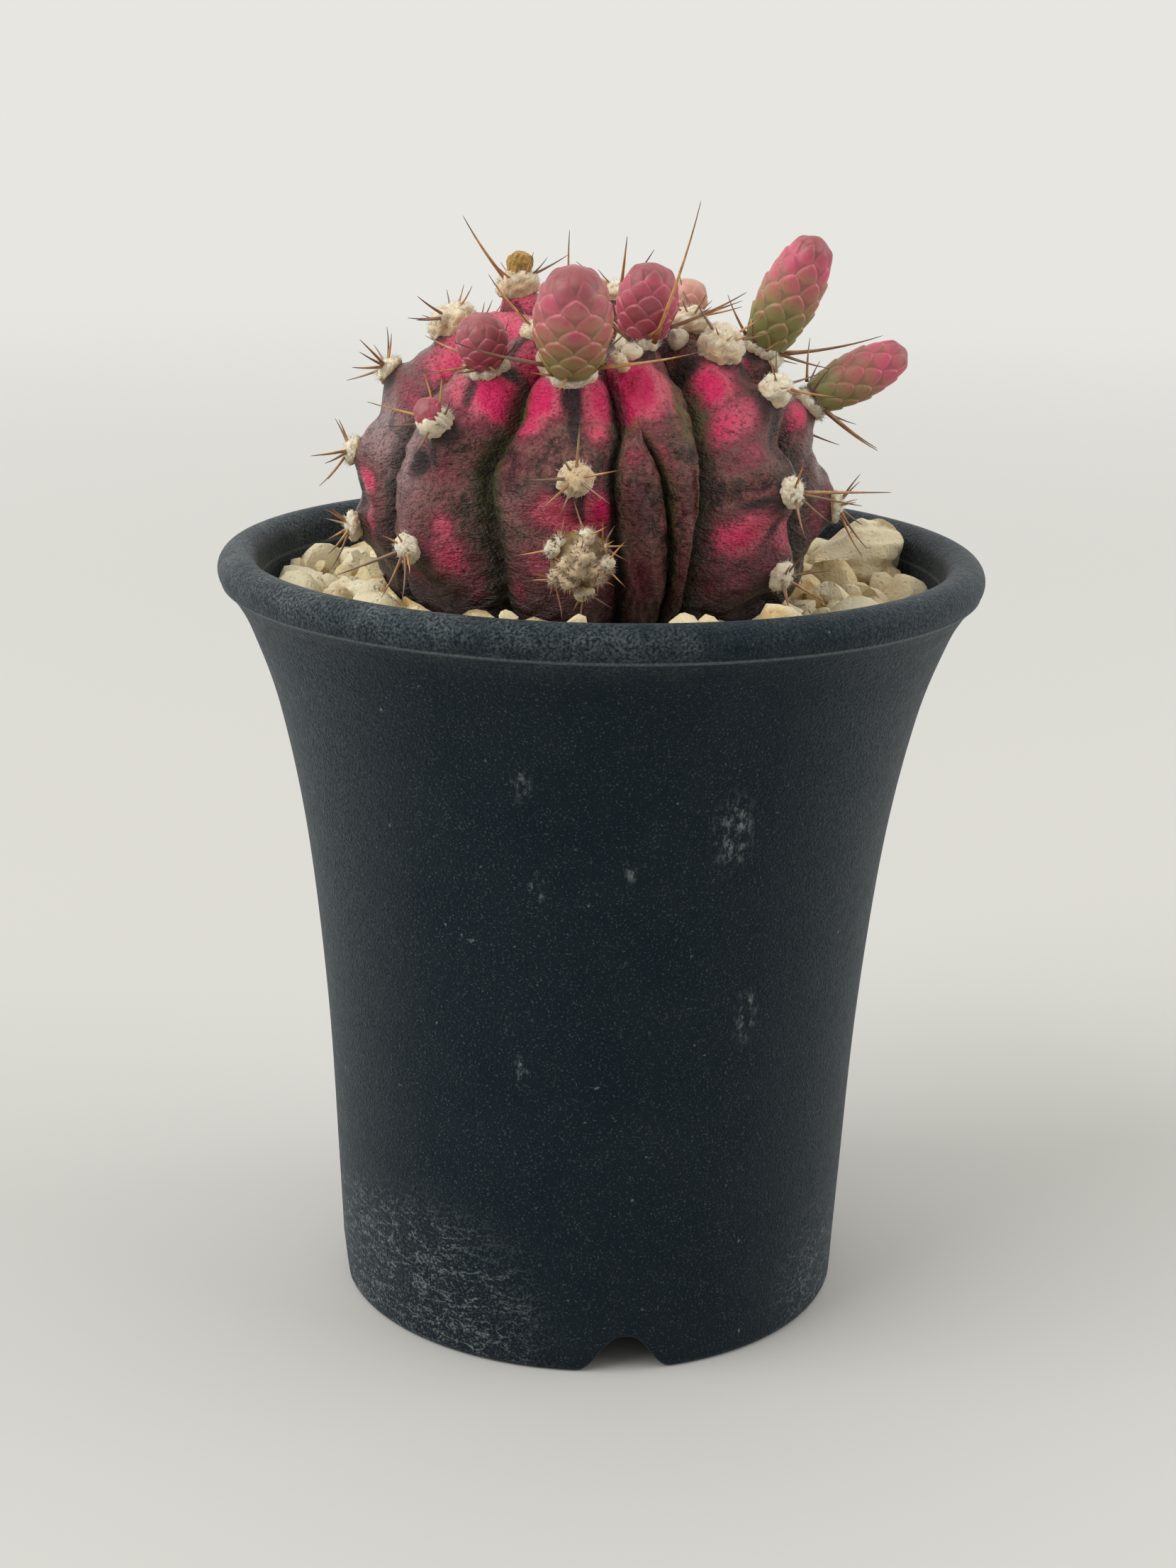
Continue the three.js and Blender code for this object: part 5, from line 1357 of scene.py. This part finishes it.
def stem_shells():
    """The skin grid closed by a pole in the crown and one at the root's tip."""
    points, _, values = stem_grid()
    ends = leaned(np.array([(0, 0, CREST_LINE[0][1]), (0, 0, CREST_LINE[-1][1])], float))
    return [capped(points, *ends, **values)]


def on_skin(points):
    """The nearest points of the skin and its normals there."""
    skin, normals, _ = stem_grid()
    skin, normals = skin.reshape(-1, 3), normals.reshape(-1, 3)
    near = np.array([np.argmin(((skin - point) ** 2).sum(1)) for point in np.atleast_2d(points)])
    return skin[near], normals[near]


def seat(rib, step, rise):
    """Where something stands on a crest: its point, and the directions out, down the rib and across it."""
    azimuth = crest_azimuth(rib, step)
    place = through(CREST_LINE, step)
    down, out = crest_frame(step)

    def upright(flat):
        return aside(azimuth) * flat[0] + np.array([0, 0, flat[1]])

    point = leaned(upright(place + out * rise))
    out, down = leaned(upright(out), False), leaned(upright(down), False)
    return point, out, down, np.cross(out, down)


# Wool and spines


def clock_direction(directions, clock, lift=0.0):
    """A direction by its clock round an areole and its lift off the skin, in degrees."""
    _, out, down, across = directions
    return swung(swung(down, across, np.radians(clock)), out, np.radians(lift))


def beside(direction):
    """Two unit vectors square to each direction and to each other."""
    other = np.where(np.abs(direction[..., 2:]) < 0.8, np.array([0, 0, 1.0]), np.array([1.0, 0, 0]))
    side = unit(np.cross(direction, other))
    return side, np.cross(direction, side)


def tuft_shell(centres, normals, sizes, heights, seed, lumpy=0.12, fine=False, aged=0.0):
    """Balls of wool: spheres pressed flat along the skin and made lumpy by waves of about a millimetre."""
    rows, columns = (26, 44) if fine else (8, 12)
    ball = np.concatenate([sphere(rows, columns, 90 / rows).reshape(-1, 3), [(0, 0, 1), (0, 0, -1)]])
    side, front = beside(normals)
    axes = np.stack([side * sizes[:, None], front * sizes[:, None], normals * heights[:, None]], 1)
    points = np.einsum("vk,nkj->nvj", ball, axes)
    lumps = 1 + lumpy * (waves(points + centres[:, None], 1.6, seed) + 0.6 * waves(points, 0.6, seed + 1))
    # The lower side of each ball gets painted shade, added to the wool's own age
    age = np.clip(0.4 - ball[:, 2], 0, 1) + aged + 0 * lumps
    points = points * lumps[..., None] + centres[:, None]
    return repeated(points, capped_triangles(rows, columns), age=age)


def collar_shell(point, directions, reach, wide, tall, seed):
    """A ragged ring of wool on the skin round a bud's foot, with its middle line and outward directions."""
    turns = np.arange(0, 360, 4.0)
    aim = clock_direction(directions, turns)
    spots = on_skin(point + aim * reach)[0]
    spots = sum(np.roll(spots, shift, 0) for shift in range(-3, 4)) / 7
    out = directions[1]
    section = np.radians(np.arange(0, 360, 30))
    ragged = 1 + 0.3 * waves(spots, 1.5, seed)[:, None] + 0.2 * waves(spots, 0.6, seed + 1)[:, None]
    across = (wide * ragged * np.cos(section))[..., None] * aim[:, None]
    along = (tall * ragged * (np.sin(section) + 0.35))[..., None] * out
    grid = spots[:, None] + across + along
    # Painted shade on the collar's underside
    age = np.clip(0.3 - np.sin(section), 0, 1) + 0 * ragged
    ring = shell(grid, grid_triangles(len(turns), len(section), ring=True), age=age.reshape(-1))
    return ring, spots + out * tall * 0.5, aim


def hair_shell(roots, directions, lengths, aged):
    """Free hairs: slim three-sided needles."""
    side, front = beside(directions)
    foot = HAIR_WIDTH * swung(side[:, None], front[:, None], np.array([0, 2.1, 4.2]))
    points = roots[:, None] + np.concatenate([foot, (directions * lengths[:, None])[:, None]], 1)
    return repeated(points, np.array([(0, 1, 3), (1, 2, 3), (2, 0, 3), (0, 2, 1)]), age=aged)


def wool_hairs(centres, normals, sizes, heights, seed, dense=1.0, aged=0.0):
    """Hairs that stand out of balls of wool on their open side, bent off straight by chance."""
    wool = bpy.context.scene.cactus_wool
    rng = np.random.default_rng(seed)
    counts = np.maximum(wool.hairs * dense * 4 * sizes * (sizes + heights) / 2, 4).astype(int)
    which = np.repeat(np.arange(len(centres)), counts)
    number = len(which)
    side, front = beside(normals[which])
    spread = unit(rng.normal(size=(number, 3)))
    spread[:, 2] = np.abs(spread[:, 2])
    wide, tall = sizes[which][:, None], heights[which][:, None]
    flat = spread[:, :1] * side + spread[:, 1:2] * front
    up = spread[:, 2:] * normals[which]
    roots = centres[which] + 0.92 * (flat * wide + up * tall)
    bent = unit(flat + up + 0.6 * rng.normal(size=(number, 3)))
    lengths = wool.hair_length / MM * rng.uniform(0.4, 1.15, number)
    return hair_shell(roots, bent, lengths, aged)


def spine_shell(roots, directions, bends, lengths, radius, seed):
    """Spines: a tapering tube carried along a parabola that leaves the root along its direction."""
    rings = np.linspace(0, 0.97, SPINE_RINGS)
    angles = np.arange(SPINE_SIDES) * 2 * math.pi / SPINE_SIDES
    rng = np.random.default_rng(seed)
    side = unit(np.cross(directions, bends))
    front = np.cross(side, directions)
    hook = rng.uniform(0.05, 0.11, (len(roots), 1))
    spans = lengths[:, None, None]
    line = rings[None, :, None]
    bend = hook[:, None] * line**2.5 * front[:, None]
    middle = roots[:, None] + spans * (line * directions[:, None] + bend)
    taper = (1 - rings**1.3 * 0.88) * (1 + 0.3 * np.exp(-((rings / 0.06) ** 2)))
    thick = (radius[:, None] * taper)[..., None, None]
    body = middle[:, :, None] + thick * swung(side[:, None, None], front[:, None, None], angles)
    tips = roots + lengths[:, None] * (directions + hook * front)
    points = np.concatenate([body.reshape(len(roots), -1, 3), roots[:, None], tips[:, None]], 1)
    along = np.concatenate([np.repeat(rings, SPINE_SIDES), [0, 1]])
    triangles = capped_triangles(SPINE_RINGS, SPINE_SIDES)
    return repeated(points, triangles, SPINE_FINISH, along=along, tone=rng.random((len(roots), 1)))


def side_tufts(name, directions):
    """Larger tufts beside a bud: their places on the skin, normals, sizes, heights and age."""
    point = directions[0]
    rows = np.array(SIDE_TUFTS.get(name, np.zeros((0, 5))), float).reshape(-1, 5)
    clock, reach, size, height, aged = rows.T
    spots, normals = np.zeros((0, 3)), np.zeros((0, 3))
    if len(rows):
        spots, normals = on_skin(point + clock_direction(directions, clock) * reach[:, None])
    return spots, normals, size, height, aged[:, None]


def spine_rows(spines, rng):
    """An areole's spines as rows of [clock, lift, length, root's clock], with short ones in their gaps."""
    rows = [(clock, lift, long, *(own or [clock])) for clock, lift, long, *own in spines]
    for clock in np.arange(-180, 180, 12) + rng.uniform(-5, 5, 30):
        free = min(abs((row[0] - clock + 180) % 360 - 180) for row in rows)
        if free > SPINE_GAP and len(rows) < MOST_SPINES:
            rows.append((clock, rng.uniform(*SHORT_LIFTS), rng.uniform(*SHORT_LENGTHS), clock))
    return np.array(rows)


def areole_shells(name, wool, seed):
    """An areole's wool, free hairs and spines.

    Most wool is one low cushion with small tufts round it. Round a fresh bud's foot it is a ragged collar
    instead, with larger tufts beside it. Short spines fill the clocks that the longer ones leave.
    """
    rib, step, rise, radius, height, bud, spines = AREOLES[name]
    rng = np.random.default_rng(seed)
    directions = seat(rib, step, rise)
    point, out = directions[:2]
    shells = []
    if name in COLLARS:
        extra, wide, tall = COLLARS[name]
        reach = bud_radius(0.0, BUDS[bud][3]) + extra
        ring, spots, aim = collar_shell(point, directions, reach, wide, tall, seed)
        wides = np.full(len(spots), wide)
        shells += [ring, wool_hairs(spots, unit(aim * 0.5 + out), wides, wides, seed, 0.5)]
        spots, normals, size, heights, aged = side_tufts(name, directions)
    else:
        count = CUSHION_TUFTS
        turns = 360 * (np.arange(count) + rng.uniform(-0.2, 0.2, count)) / count
        reach = radius * 0.68 * rng.uniform(0.85, 1.1, count)
        spots, normals = on_skin(point + clock_direction(directions, turns) * reach[:, None])
        size = radius * rng.uniform(0.2, 0.32, count)
        heights = size * rng.uniform(0.7, 1, count) * min(height / 1.3, 1.1)
        aged = yellow = YELLOW_WOOL.get(name, 0.0)
        middle = (point + out * height * 0.12)[None]
        whole = (np.array([radius * 1.04]), np.array([height * 1.02]))
        shells += [tuft_shell(middle, out[None], *whole, seed + 50, 0.075, True, yellow),
                   wool_hairs(middle, out[None], *whole, seed + 70, aged=yellow)]
    if len(spots):
        centres = spots + normals * heights[:, None] * 0.25
        shells += [tuft_shell(centres, normals, size, heights, seed, aged=aged),
                   wool_hairs(centres, normals, size, heights, seed, 0.7)]
    clocks, lifts, lengths, root_clocks = spine_rows(spines, rng).T
    aim = clock_direction(directions, clocks, lifts)
    away = radius * (ROOT_ROUND_BUD if bud else ROOT_IN_WOOL)
    sunk = ROOT_SUNK_AT_BUD if bud else ROOT_SUNK
    roots = point + out * (WOOL_GAP + ROOT_HEIGHT * height)
    roots = roots + clock_direction(directions, root_clocks) * away - aim * sunk
    thick = wool.spine_radius / MM * np.clip(0.6 + lengths / 14, 0.6, 1.25)
    shells.append(spine_shell(roots, aim, np.broadcast_to(out, aim.shape), lengths + sunk, thick, seed))
    return shells


# Buds


def bud_radius(share, width):
    """Radius of a bud at a share of its length: it opens as a sine and closes as a superellipse."""
    foot = BUD_FOOT_SHARE + (1 - BUD_FOOT_SHARE) * np.sin(np.pi / 2 * np.minimum(share / BUD_WIDEST, 1))
    over = np.maximum(0, (share - BUD_SHOULDER) / (1 - BUD_SHOULDER))
    return width / 2 * foot * np.sqrt(np.maximum(1 - over**BUD_ROUNDNESS, 0))


def scale_relief(share, turn, scales, rings):
    """Height, outline and number of the scale on top at each place of a bud, and how near its tip that is.

    A scale is a rounded diamond, two rings tall, whose skin climbs to its tip and is lower at its sides.
    Each lower ring of scales lies over the one above, so the highest of those that reach a place shows.
    """
    level = (share - FIRST_RING) / (LAST_RING - FIRST_RING) * rings
    best = np.zeros_like(share + turn)
    outline = np.ones_like(best)
    number = np.zeros_like(best)
    apex = np.zeros_like(best)
    for back in range(-2, 3):
        ring = np.clip(np.round(level) + back, 0, rings)
        shifted = turn - 0.5 - (ring % 2) / 2
        across = shifted - np.round(shifted)
        along = level - ring
        wide, tall = np.abs(across) / SCALE_HALF_WIDTH, along / SCALE_HALF_HEIGHT
        q = wide**1.5 + np.abs(tall) ** 1.7
        climb = 0.3 + 0.7 * (tall + 1) / 2
        height = np.where(q < 1, climb * (1 - 0.3 * wide**2) * (1 - q**12), 0)
        on_top = height > best
        best = np.where(on_top, height, best)
        outline = np.where(on_top, np.where(along > -0.35, q, 0), outline)
        number = np.where(on_top, ring * 13.7 + np.round(shifted) % scales * 5.3, number)
        apex = np.where(on_top, smoothstep(-0.3, 1.25, along - 0.5 * np.abs(across)), apex)
    return best, outline, number, apex


def bud_frame(name):
    """Foot point and axes of a bud: side, front and along."""
    areole, axis, *_, sunk, _, _ = BUDS[name]
    rib, step, rise, *_ = AREOLES[areole]
    point, out, down, _ = seat(rib, step, rise)
    axis = unit(np.array(axis))
    side = unit(np.cross(down, axis))
    return point + out * (WOOL_GAP - sunk), side, np.cross(axis, side), axis


def bud_shells(name, buds):
    """A bud's plain form raised by its scales, with each scale's margin and tint as painted fields."""
    _, _, long, width, scales, rings, _, leafy, dusky = BUDS[name]
    large = long > LARGE_BUD
    rows, columns = BUD_GRIDS[large]
    share = np.linspace(0, 1, rows + 1)[:-1, None]
    share = 0.35 * np.sin(share * np.pi / 2) + 0.65 * share
    turn = (np.arange(columns) / columns * scales)[None]
    height, outline, number, apex = scale_relief(share, turn, scales, rings)
    tall = buds.scale_rise / MM * min(1, width / FULL_RISE_WIDTH)
    radius = bud_radius(share, width) * (1 - RISES_SUNK * tall / width)
    radius = radius + tall * height * smoothstep(1.0, 0.92, share)
    angle = 2 * np.pi * turn / scales
    point, side, front, axis = bud_frame(name)
    if name == DRIED_BUD:
        radius = radius * (1 + 0.12 * np.sin(5 * angle + 3 * share) + 0.05 * np.sin(13 * angle))
    grid = point + radius[..., None] * swung(side, front, angle) + (long * share)[..., None] * axis
    chance = np.modf(np.abs(np.sin(number * 12.9898) * 43758.5453))[0]
    tone = np.clip(dusky + 0.5 * (chance - 0.5) + smoothstep(0.8, 1, share), 0, 1)
    green = 1.35 * leafy * (1 - share) + (0.05 + 0.12 * leafy) * (0.45 - apex) + 0.15 * (chance - 0.5)
    end = point + axis * long * (1.0 if large else 0.98)
    pale = np.full_like(outline, PALE_BUDS.get(name, 0.0))
    crown = smoothstep(0.8, 0.93, share) + 0 * outline
    fields = {"edge": outline, "tone": tone, "leafy": green, "apex": apex, "pale": pale, "crown": crown}
    return [capped(grid, point, end, **fields)]


def pup_shells(wool):
    """The offset: a low round head with a tubercle, a tuft and a star of spines at each of its areoles."""
    directions = seat("C", PUP_STEP, 0.2)
    point, out, down, across = directions
    middle = point + out * PUP_LIFT
    clocks, tilts, sizes, aged = np.array(PUP_AREOLES, float).T
    aims = clock_direction(directions, clocks, 90 - tilts)
    ball = sphere(44, 60, 4) @ np.array([across, down, out])
    near = np.arccos(np.clip(ball @ aims.T, -1, 1))
    knobs = (PUP_TUBERCLE * np.exp(-((near / PUP_TUBERCLE_HALF) ** 2))).max(-1)
    flat = 1 - (1 - PUP_FLATNESS) * np.abs(ball @ out)
    grid = middle + ball * ((PUP_RADIUS - PUP_SKIN + knobs) * flat)[..., None]
    shells = [capped(grid, grid[0].mean(0), grid[-1].mean(0), SKIN_FINISH)]
    seats = middle + aims * (PUP_RADIUS + 0.1)
    shells.append(tuft_shell(seats, aims, sizes, sizes * 0.8, 60, 0.2, aged=aged[:, None]))
    shells.append(wool_hairs(seats, aims, sizes, sizes * 0.8, 61, 2.2, 0.75))
    rng = np.random.default_rng(9)
    which = np.repeat(np.arange(len(seats)), PUP_SPINES)
    side, front = beside(aims[which])
    around = np.tile(np.arange(PUP_SPINES) * 2 * np.pi / PUP_SPINES, len(seats))
    around = around + rng.uniform(-0.3, 0.3, len(which))
    lift = rng.uniform(0.35, 0.85, len(which))
    aim = swung(swung(side, front, around), aims[which], lift)
    inward = aim @ out < -0.25
    lengths = np.where(inward, 1.6, rng.uniform(2.6, 4.9, len(which)))
    lengths = np.where((aim @ out > 0.6) | (aged[which] > 0.5), lengths * 0.5, lengths)
    thick = np.full(len(which), wool.spine_radius / MM * 0.75)
    shells.append(spine_shell(seats[which] - aim * 0.2, aim, aims[which], lengths, thick, 62))
    return shells


# Light


def daylight(settings):
    """Soft daylight from all round, brighter from behind and from the left than from the camera's side.

    The camera itself sees one plain pale wall.
    """
    world = bpy.data.worlds.new("soft_daylight")
    world.use_nodes = True
    add = functools.partial(node, world.node_tree)
    x, y, _ = add("SeparateXYZ", add("TexCoord", output="Generated")).node.outputs
    strength = add("MapRange", y, -0.8, 0.5, 0.5, 1.15, **SMOOTH)
    strength = add("Math", strength, add("MapRange", x, -1, 1, 1.15, 0.85), **TIMES)
    strength = add("Math", strength, settings.fill, **TIMES)
    seen = add("LightPath", output="Is Camera Ray")
    strength = add("Mix", inputs={0: seen, 2: strength, 3: WALL_GLOW}, data_type="FLOAT")
    fill(world.node_tree.nodes["Background"], {"Color": linear(WALL_COLOUR), "Strength": strength})
    return world


def floor_material(settings):
    """Matt white floor that fades into the plain wall's colour with distance, so that no edge shows."""
    material, add, surface, place = start_material("matt_white_floor")
    fill(surface, {"Base Color": opaque(settings.floor), "Roughness": 0.9})
    far = add("VectorMath", place, operation="LENGTH", output="Value")
    far = add("MapRange", far, *FLOOR_FADE, **SMOOTH)
    glow = add("Emission", inputs={"Color": linear(WALL_COLOUR), "Strength": WALL_GLOW})
    faded = add("MixShader", far, surface.outputs[0], glow)
    fill(material.node_tree.nodes["Material Output"], {"Surface": faded})
    return material


# Operators


class Maker:
    """What the operators share: each makes its pieces in the scene."""

    def execute(self, context):
        self.make(context.scene)
        return {"FINISHED"}


class CACTUS_OT_pot(Maker, bpy.types.Operator):
    """Make the moulded pot"""

    bl_idname = "cactus.pot"
    bl_label = "Pot"

    def make(self, scene):
        pot = scene.cactus_pot
        piece = put("moulded_pot", pot_shells(pot), [pot_material(pot)], ["pot"], POT_SHARP)
        cut_drains(piece)


class CACTUS_OT_gravel(Maker, bpy.types.Operator):
    """Make the pumice, and finish the potting mix"""

    bl_idname = "cactus.gravel"
    bl_label = "Pumice and Potting Mix"

    def make(self, scene):
        gravel = scene.cactus_gravel
        finish = pumice_material(gravel)
        put("pumice_stones", gravel_shells(gravel), [finish], ["pumice"], STONE_SHARP)
        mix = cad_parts["potting_mix"]
        mix.data.materials.clear()
        mix.data.materials.append(soil_material(gravel))


class CACTUS_OT_stem(Maker, bpy.types.Operator):
    """Make the ribbed stem"""

    bl_idname = "cactus.stem"
    bl_label = "Stem"

    def make(self, scene):
        put("ribbed_stem", stem_shells(), [skin_material(scene.cactus_plant)], ["stem"])


class CACTUS_OT_areoles(Maker, bpy.types.Operator):
    """Make the wool and spines of every areole"""

    bl_idname = "cactus.areoles"
    bl_label = "Areoles"

    def make(self, scene):
        wool = scene.cactus_wool
        finishes = [wool_material(wool), spine_material(wool)]
        for seed, name in enumerate(AREOLES):
            put(f"wool_{name}", areole_shells(name, wool, seed), finishes, [f"areole_{name}"])


class CACTUS_OT_buds(Maker, bpy.types.Operator):
    """Make the flower buds and the dried bud"""

    bl_idname = "cactus.buds"
    bl_label = "Buds"

    def make(self, scene):
        buds = scene.cactus_buds
        waxy, dry = bud_material(buds), dry_material(buds)
        for name in BUDS:
            finish, slot = (dry, "dry_bud") if name == DRIED_BUD else (waxy, "bud_skin")
            put(f"scaly_{name}", bud_shells(name, buds), [finish], [name])


class CACTUS_OT_pup(Maker, bpy.types.Operator):
    """Make the small offset"""

    bl_idname = "cactus.pup"
    bl_label = "Offset"

    def make(self, scene):
        wool = scene.cactus_wool
        finishes = [wool_material(wool), spine_material(wool), young_skin_material()]
        put("spiny_offset", pup_shells(wool), finishes, ["pup"])


class CACTUS_OT_stage(Maker, bpy.types.Operator):
    """Make the floor, the lights and the camera"""

    bl_idname = "cactus.stage"
    bl_label = "Floor, Light and Camera"

    def make(self, scene):
        settings = scene.cactus_stage
        corners = [(x * FLOOR_HALF, y * FLOOR_HALF, 0) for x, y in ((-1, -1), (1, -1), (1, 1), (-1, 1))]
        mesh = bpy.data.meshes.new("floor")
        mesh.from_pydata(corners, [], [(0, 1, 2, 3)])
        mesh.materials.append(floor_material(settings))
        floor = linked("floor", mesh)
        scene.world = daylight(settings)
        scene.view_settings.view_transform = "Standard"
        for name, spot, size, share in LAMPS:
            lamp = bpy.data.lights.new(name, "AREA")
            lamp.size = size
            lamp.energy = settings.key * share
            light = linked(name, lamp)
            aim = Vector(LAMP_AIM) - Vector(spot)
            light.matrix_world = Matrix.Translation(spot) @ aim.to_track_quat("-Z", "Y").to_matrix().to_4x4()
        lens = bpy.data.cameras.new("camera")
        lens.sensor_width = SENSOR
        lens.lens = CAMERA_FOCAL_PIXELS / PHOTO_HEIGHT_PIXELS * SENSOR
        lens.clip_start = 0.01
        lens.clip_end = 20
        camera = linked("camera", lens)
        pitch, roll = math.radians(CAMERA_PITCH), math.radians(CAMERA_ROLL)
        turn = Matrix.Rotation(math.pi / 2 - pitch, 4, "X") @ Matrix.Rotation(roll, 4, "Z")
        camera.matrix_world = Matrix.Translation(Vector(CAMERA_PLACE) * MM) @ turn
        scene.camera = camera


class CACTUS_PT_panel(bpy.types.Panel):
    """Lists the pieces in the 3D view's sidebar"""

    bl_idname = "CACTUS_PT_panel"
    bl_label = "Potted Moon Cactus"
    bl_space_type = "VIEW_3D"
    bl_region_type = "UI"
    bl_category = "Cactus"

    def draw(self, context):
        for operator in OPERATORS:
            self.layout.operator(operator.bl_idname)
        for name, group in SETTINGS.items():
            box = self.layout.box()
            settings = getattr(context.scene, name)
            for key in group.__annotations__:
                box.prop(settings, key)


SETTINGS = {
    "cactus_pot": PotSettings,
    "cactus_gravel": GravelSettings,
    "cactus_plant": PlantSettings,
    "cactus_buds": BudSettings,
    "cactus_wool": WoolSettings,
    "cactus_stage": StageSettings,
}
OPERATORS = (
    CACTUS_OT_stage, CACTUS_OT_pot, CACTUS_OT_gravel, CACTUS_OT_stem, CACTUS_OT_areoles, CACTUS_OT_buds,
    CACTUS_OT_pup,
)
CLASSES = (*SETTINGS.values(), *OPERATORS, CACTUS_PT_panel)


def register():
    """Adds the classes and hangs the settings on the scene."""
    for item in CLASSES:
        bpy.utils.register_class(item)
    for name, group in SETTINGS.items():
        setattr(bpy.types.Scene, name, PointerProperty(type=group))


def unregister():
    """Takes the settings and the classes away again."""
    for name in SETTINGS:
        delattr(bpy.types.Scene, name)
    for item in reversed(CLASSES):
        bpy.utils.unregister_class(item)


def main():
    """Builds the whole object."""
    register()
    for operator in OPERATORS:
        getattr(bpy.ops.cactus, operator.bl_idname.split(".")[1])()


if __name__ == "__main__":
    main()
